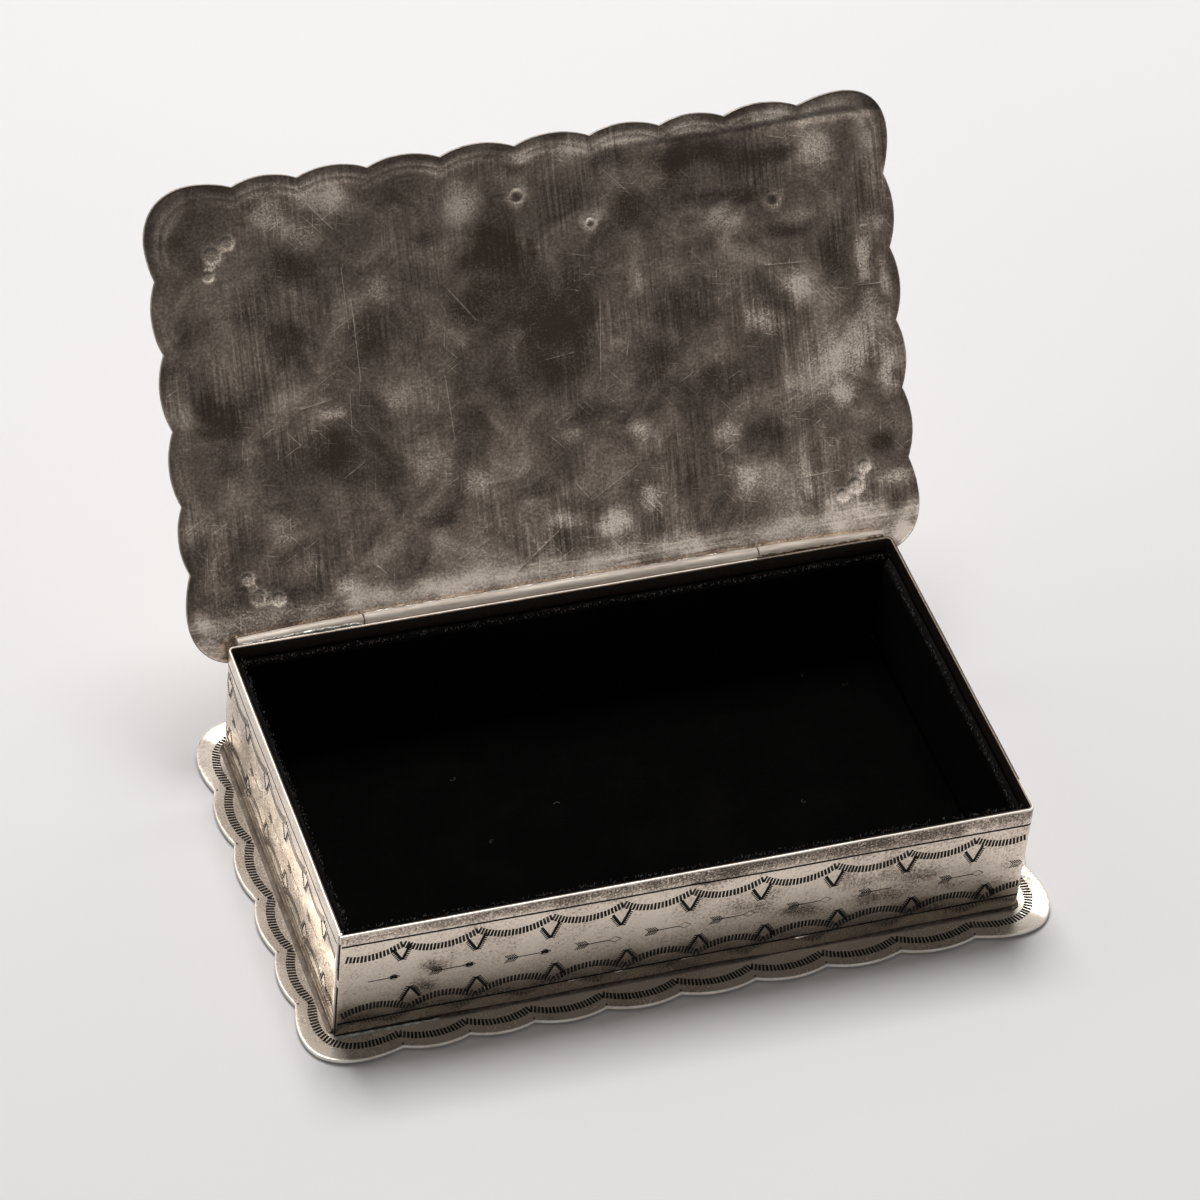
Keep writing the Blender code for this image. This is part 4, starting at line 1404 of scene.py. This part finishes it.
def add_lid():
    dice = random.Random(37)
    outline = joined(lid_lobes())
    hollows = [(x * MM, y * MM, 1.28 * radius * MM) for x, y, radius, _ in BOSSES + RINGS]
    features = feature_points()
    outer = row_points(lid_lobes, flat_ridge, 2) + grid_points(lid_lobes, 0.0085, 0.0026, hollows) + features
    inner = row_points(lid_lobes, ghost_ridge) + grid_points(lid_lobes, 0.0081, 0.0018, hollows) + features
    patches = blotches(LID_PATCHES)
    front = (outer_lid_marks(outline, dice), outer, lid_outer_relief, blotches(((20, -50, 80, 50, 0.10),)))
    back = (scratch_marks(), inner, lid_inner_relief, lambda x, y: PATCH_SHARE * patches(x, y) + punch_tone_and_highlight(x, y))
    outer_silver = silver_material("lid_outer_silver", WALL_STOPS, 0.22, (0.15, 0.42), 1.2, 0.9, 0.5)
    inner_silver = silver_material(
        "lid_inner_silver", LID_INNER_STOPS, 0.62, (0.22, 0.40), 1.5, 1.0, 1.3, hairlines=0.36, level_from=-0.010
    )
    scratch = silver_material("scratch_silver", SCRATCH_STOPS, 0.55, (0.35, 0.50), 1.4, 2.0, 0.4)
    materials = sheet_materials(outer_silver, inner_silver, scratch, "tarnished_edge")
    lid = add_sheet("scalloped_lid", outline, lid_place, PLATE_GAUGE, EDGE_ROUND, front, back, materials)
    finish_piece(lid, "lid", "silver_lid", "lid_plate")


# Hinge

DROOP = 0.0010
DROOP_FORWARD = 0.00026
END_ROUND = 0.00014
KNUCKLE_STEPS = 40
KNUCKLE_LUMPS = (0.00005, 0.005)  # height and size


def hinge_point(x, drop_share=1.0):
    """The hinge's own line: straight in the middle, its outer knuckles leaning down and against
    the wall towards their free ends."""
    joint, end = (LEFT_JOINT, HINGE_LEFT) if x < 0 else (RIGHT_JOINT, HINGE_RIGHT)
    share = max(0.0, (x - joint) / (end - joint))
    drop = share * share * drop_share
    return Vector((x, HINGE_Y - DROOP_FORWARD * drop, HINGE_Z - DROOP * drop))


def spread(start, end, count):
    return [start + (end - start) * number / count for number in range(count + 1)]


def add_hinge():
    half_gap = KNUCKLE_GAP / 2
    for side, start, end, body in (
        ("left", HINGE_LEFT, LEFT_JOINT - half_gap, "box"),
        ("centre", LEFT_JOINT + half_gap, RIGHT_JOINT - half_gap, "lid"),
        ("right", RIGHT_JOINT + half_gap, HINGE_RIGHT, "box"),
    ):
        places = [start, *spread(start + END_ROUND, end - END_ROUND, KNUCKLE_STEPS), end]
        small = KNUCKLE_RADIUS - END_ROUND
        radii = [small, *[KNUCKLE_RADIUS] * (KNUCKLE_STEPS + 1), small]
        path = map(hinge_point, places)
        tube = bar(f"{side}_knuckle", path, radii, finish("hinge_silver"), 32, KNUCKLE_BORE, *KNUCKLE_LUMPS)
        finish_piece(tube, body, "silver_hinge", f"hinge_knuckle_{side}")
    places = spread(HINGE_LEFT + PIN_RECESS, HINGE_RIGHT - PIN_RECESS, 70)
    pin = bar("bent_pin", map(hinge_point, places), [PIN_RADIUS] * len(places), finish("pin_silver"), 20)
    finish_piece(pin, "box", "silver_pin", "hinge_pin")


# Solder

def add_hinge_solder():
    """Rough beads that hold the outer knuckles to the back wall, thick near the left joint and at
    the right end, and the seam of solder that holds the centre knuckle to the lid."""
    for side, start, end, body, material, thick in (
        ("left_knuckle", LEFT_JOINT - 0.0008, HINGE_LEFT + 0.001,
         "box", "hinge_solder", (LEFT_JOINT - 0.011, 0.010)),
        ("right_knuckle", RIGHT_JOINT + 0.0008, HINGE_RIGHT - 0.0006,
         "box", "brown_solder", (HINGE_RIGHT, 0.010)),
        ("lid", LEFT_JOINT + 0.001, RIGHT_JOINT - 0.001, "lid", "hinge_solder", (-0.02, 0.030)),
    ):
        path, radii = [], []
        for x in spread(start, end, 90):
            if body == "lid":
                path.append(LID_TURN @ Vector((x, -0.00115, STAND_OFF - 0.00020)))
                radii.append(0.00040 + 0.00014 * noise.noise((x / 0.006, 5, 0)))
            else:
                path.append(Vector((x, BOX_WIDTH / 2 + 0.00050, hinge_point(x, 0.5).z + 0.00030)))
                radii.append(0.00046 + 0.00034 * bell(x, *thick) + 0.00016 * noise.noise((x / 0.0045, 2, 0)))
        bead = bar(f"{side}_solder", path, radii, finish(material), 12, None, 0.00026, 0.0012)
        finish_piece(bead, body, "silver_hinge")


CRUST_LENGTH = 0.0270
FILLET_PROFILE = ((0.0, 0.0), (0.35, 0.10), (0.62, 0.28), (0.84, 0.58), (0.93, 1.0))


def add_foot_solder():
    """Solder along the foot of the walls: a smooth brown band on the left, thin elsewhere, with a
    pale crust near the seam."""
    for side, start, end, width, height, material in (
        ("front", 0.0, FRONT_RUN, 0.00042, 0.0006, "thin_solder"),
        ("right", FRONT_RUN, RIGHT_START + SIDE_RUN, 0.0009, 0.0009, "foot_solder"),
        ("back", RIGHT_START + SIDE_RUN, BACK_START + BACK_RUN, 0.0010, 0.0009, "foot_solder"),
        ("left", BACK_START + BACK_RUN, BAND_LENGTH, 0.00165, 0.0011, "foot_solder"),
    ):
        loops = []
        for s in spread(start, end, int((end - start) / 0.0008)):
            here, deeper = Vector(band_place(s, 0, 0)), Vector(band_place(s, 0, 0.0005))
            into = (deeper - here).normalized()
            here.z = PLATE_GAUGE - 0.00005
            swell = 1 + 0.10 * noise.noise((s / 0.006, width * 9000, 0)) + 0.05 * noise.noise((s / 0.0015, 1, 0))
            rise = Vector((0, 0, (height + SEAT_GAP) * swell))
            loop = [here - into * (width * swell * (1 - out)) + rise * up for out, up in FILLET_PROFILE]
            loops.append([*loop, here + into * 0.0002 + rise, here + into * 0.0002][::-1])
        finish_piece(loft(f"foot_solder_{side}", loops, [finish(material)]), "box", "silver_band")
    places = spread(-BOX_LENGTH / 2 + 0.0002, -BOX_LENGTH / 2 + CRUST_LENGTH, 60)
    path = [(x, -BOX_WIDTH / 2 - 0.00045, PLATE_GAUGE + 0.00024) for x in places]
    radii = [0.00042 - 0.00022 * number / 60 for number in range(61)]
    crust = bar("seam_crust", path, radii, finish("seam_crust"), 10, None, 0.00014, 0.0009)
    finish_piece(crust, "box", "silver_band")


def add_seam_solder():
    """Pale solder that fills the slit at the front-left corner in two places."""
    place = (-BOX_LENGTH / 2 + 0.00040, -BOX_WIDTH / 2 + WALL_GAUGE + SEAM_SLIT / 2)
    for name, (low, high) in SEAM_FILLED.items():
        path = [(*place, WALL_FOOT + t) for t in spread(low, high, 12)]
        radii = [0.00048] * len(path)
        bead = bar(f"seam_solder_{name}", path, radii, finish("seam_solder"), 12, None, 0.00010, 0.0012)
        finish_piece(bead, "box", "silver_band")


# Velvet

VELVET_THICKNESS = 0.0020
TUCK = 0.0001
OUTER_X = BOX_LENGTH / 2 - WALL_GAUGE - SEAT_GAP
OUTER_Y = BOX_WIDTH / 2 - WALL_GAUGE - SEAT_GAP
SIDE_Y = OUTER_Y - VELVET_THICKNESS - TUCK
VELVET_FLOOR = PLATE_GAUGE + SEAT_GAP
VELVET_TOP = VELVET_FLOOR + VELVET_THICKNESS
# Each wall's pad: its start and end, the way it is thick, how far its top lies below the rim
WALL_PADS = {
    "front": ((-OUTER_X, -OUTER_Y), (OUTER_X, -OUTER_Y), (0, 1), 0.0012),
    "right": ((OUTER_X, -SIDE_Y), (OUTER_X, SIDE_Y), (-1, 0), 0.0038),
    "back": ((OUTER_X, OUTER_Y), (-OUTER_X, OUTER_Y), (0, -1), 0.0036),
    "left": ((-OUTER_X, SIDE_Y), (-OUTER_X, -SIDE_Y), (1, 0), 0.0016),
}
PAD_PROFILE = (
    (0.0, 0.0), (0.55, 0.0), (0.92, 0.02), (1.0, 0.07), (0.97, 0.22), (0.93, 0.4), (0.95, 0.6), (0.99, 0.76),
    (1.04, 0.88), (1.0, 0.945), (0.80, 0.985), (0.45, 1.0), (0.12, 0.99), (0.0, 0.96), (0.0, 0.5),
)
CUT_CORNERS = (9, 10, 11, 12)


def edge_wave(side, travel):
    """How the cut top edge of a wall's pad wanders up and down along its length."""
    seed = sum(map(ord, side))
    return 0.00045 * noise.noise((travel / 0.012, seed, 0)) + 0.00022 * noise.noise((travel / 0.004, seed, 2))


def wall_pad(side, velvet, cut_pile_sheen):
    """A velvet pad on a wall, crowned between its glued foot and its cut, turned-over top."""
    start, end, into, below = WALL_PADS[side]
    start, end, into = Vector((*start, 0)), Vector((*end, 0)), Vector((*into, 0))
    foot, top = VELVET_TOP + TUCK, RIM_LEVEL - below
    length = (end - start).length
    loops = []
    for travel in spread(0, length, int(length / 0.0022)):
        swell = 1 + 0.10 * noise.noise((travel / 0.018, foot * 3000, 5))
        close = min(1.0, 0.80 + 0.2 * min(travel, length - travel) / 0.002)
        loop = []
        for out, up in PAD_PROFILE:
            pucker = 0.00016 * noise.noise((travel / 0.007, up * 3, length * 70)) if out > 0.5 else 0.0
            height = foot + (top + edge_wave(side, travel) - foot) * up
            reach = into * (out * VELVET_THICKNESS * swell * close + pucker)
            loop.append(start + (end - start) * travel / length + reach + Vector((0, 0, height)))
        loops.append(loop)
    return loft(f"{side}_velvet", loops, [velvet, cut_pile_sheen], second=CUT_CORNERS)


def floor_pad(velvet):
    """The floor pad, crowned a little between its tucked edges, with faint lumps."""
    loops = []
    for x in spread(-OUTER_X, OUTER_X, 70):
        loop = []
        for y in spread(-OUTER_Y, OUTER_Y, 40):
            crown = smooth_step(-0.0005, 0.004, min(OUTER_X - abs(x), OUTER_Y - abs(y)))
            lump = 0.00016 * noise.noise((x / 0.016, y / 0.016, 1))
            loop.append((x, y, VELVET_FLOOR + VELVET_THICKNESS * (0.78 + 0.22 * crown) + lump * crown))
        loops.append([*loop, (x, OUTER_Y, VELVET_FLOOR), (x, 0, VELVET_FLOOR), (x, -OUTER_Y, VELVET_FLOOR)][::-1])
    return loft("floor_velvet", loops, [velvet])


def add_linings():
    velvet = velvet_material("black_velvet_pile", (0.0010, 0.0009, 0.0008), (0.0045, 0.0040, 0.0036))
    # painted sheen: the cut top edges of the pads are paler black, as if their pile catches the light
    cut_pile_sheen = velvet_material("cut_velvet_pile", (0.005, 0.0044, 0.0042), (0.024, 0.021, 0.020), 0.015)
    for side in ("floor", "front", "back", "left", "right"):
        pad = floor_pad(velvet) if side == "floor" else wall_pad(side, velvet, cut_pile_sheen)
        softened = pad.modifiers.new("softened", "SUBSURF")
        softened.levels = softened.render_levels = 1
        finish_piece(pad, "box", "black_velvet", f"{side}_lining")


def add_strands(name, strands, material):
    """Thin tapered threads as one mesh, each a list of points and its radius."""
    verts, faces = [], []
    for points, radius in strands:
        faces += skin_faces(len(verts), 3, len(points))
        for number, point in enumerate(points):
            reach = radius * (1 - 0.45 * number / (len(points) - 1))
            for corner in range(3):
                angle = math.tau * corner / 3
                offset = (math.cos(angle), math.sin(angle), 0.6 * math.sin(angle * 2))
                verts.append(Vector(point) + Vector(offset) * reach)
    finish_piece(add_mesh(name, verts, faces, [material]), "box", "black_velvet")


LINT_PLACES = (
    (74.2, 33.4), (-35, 47.3), (64.7, 39.1), (-33.5, 0.5), (-36.9, 24.3), (-13.5, 9.4), (-6.9, 48.4), (48.9, -5.0),
    (-41.0, 10.2),
)
LINT_REACH = 0.0005
FRAY_PITCH = 0.00020


def add_frayed_edges():
    """Loose pile along the cut top edges of the velvet, pale specks among it, and lint."""
    dice = random.Random(5)
    pile, specks = [], []
    for side, (start, end, into, below) in WALL_PADS.items():
        start, end, into = Vector(start), Vector(end), Vector(into)
        length = (end - start).length
        for number in range(int(length / FRAY_PITCH)):
            travel = dice.uniform(0, length)
            pale = number % 2 == 0
            inwards = dice.gauss(0.0019, 0.0003) if pale else dice.uniform(0.0003, 0.0020)
            place = start.lerp(end, travel / length) + into * inwards
            lean = Vector((dice.uniform(-1, 1), dice.uniform(-1, 1))) * (0.00030 if pale else 0.00035)
            low = RIM_LEVEL - below + edge_wave(side, travel) - (dice.uniform(0.0, 0.0007) if pale else 0.0002)
            rise = dice.uniform(0.0002, 0.0007)
            points = ((*place, low), (*(place + lean * 0.5), low + rise * 0.6), (*(place + lean), low + rise))
            (specks if pale else pile).append((points, dice.uniform(0.00004, 0.00008)))
    for x, y in LINT_PLACES:
        curl = dice.uniform(0, math.tau)
        turns = [curl + step * 0.7 for step in range(6)]
        curve = [(LINT_REACH * math.cos(turn) * 1.5, LINT_REACH * math.sin(turn)) for turn in turns]
        specks.append(([(x * MM + a, y * MM + b, VELVET_TOP + 0.00006) for a, b in curve], 0.00005))
    # the loose pile takes the cut edges' painted sheen
    add_strands("velvet_frays", pile, bpy.data.materials["cut_velvet_pile"])
    add_strands("velvet_lint", specks, finish("pale_lint"))


def main():
    bpy.context.scene.view_settings.view_transform = "Standard"
    add_camera()
    add_world()
    add_lights()
    add_floor()
    add_base()
    add_band()
    add_lid()
    add_hinge()
    add_hinge_solder()
    add_foot_solder()
    add_seam_solder()
    add_linings()
    add_frayed_edges()
    bpy.context.view_layer.update()


main()
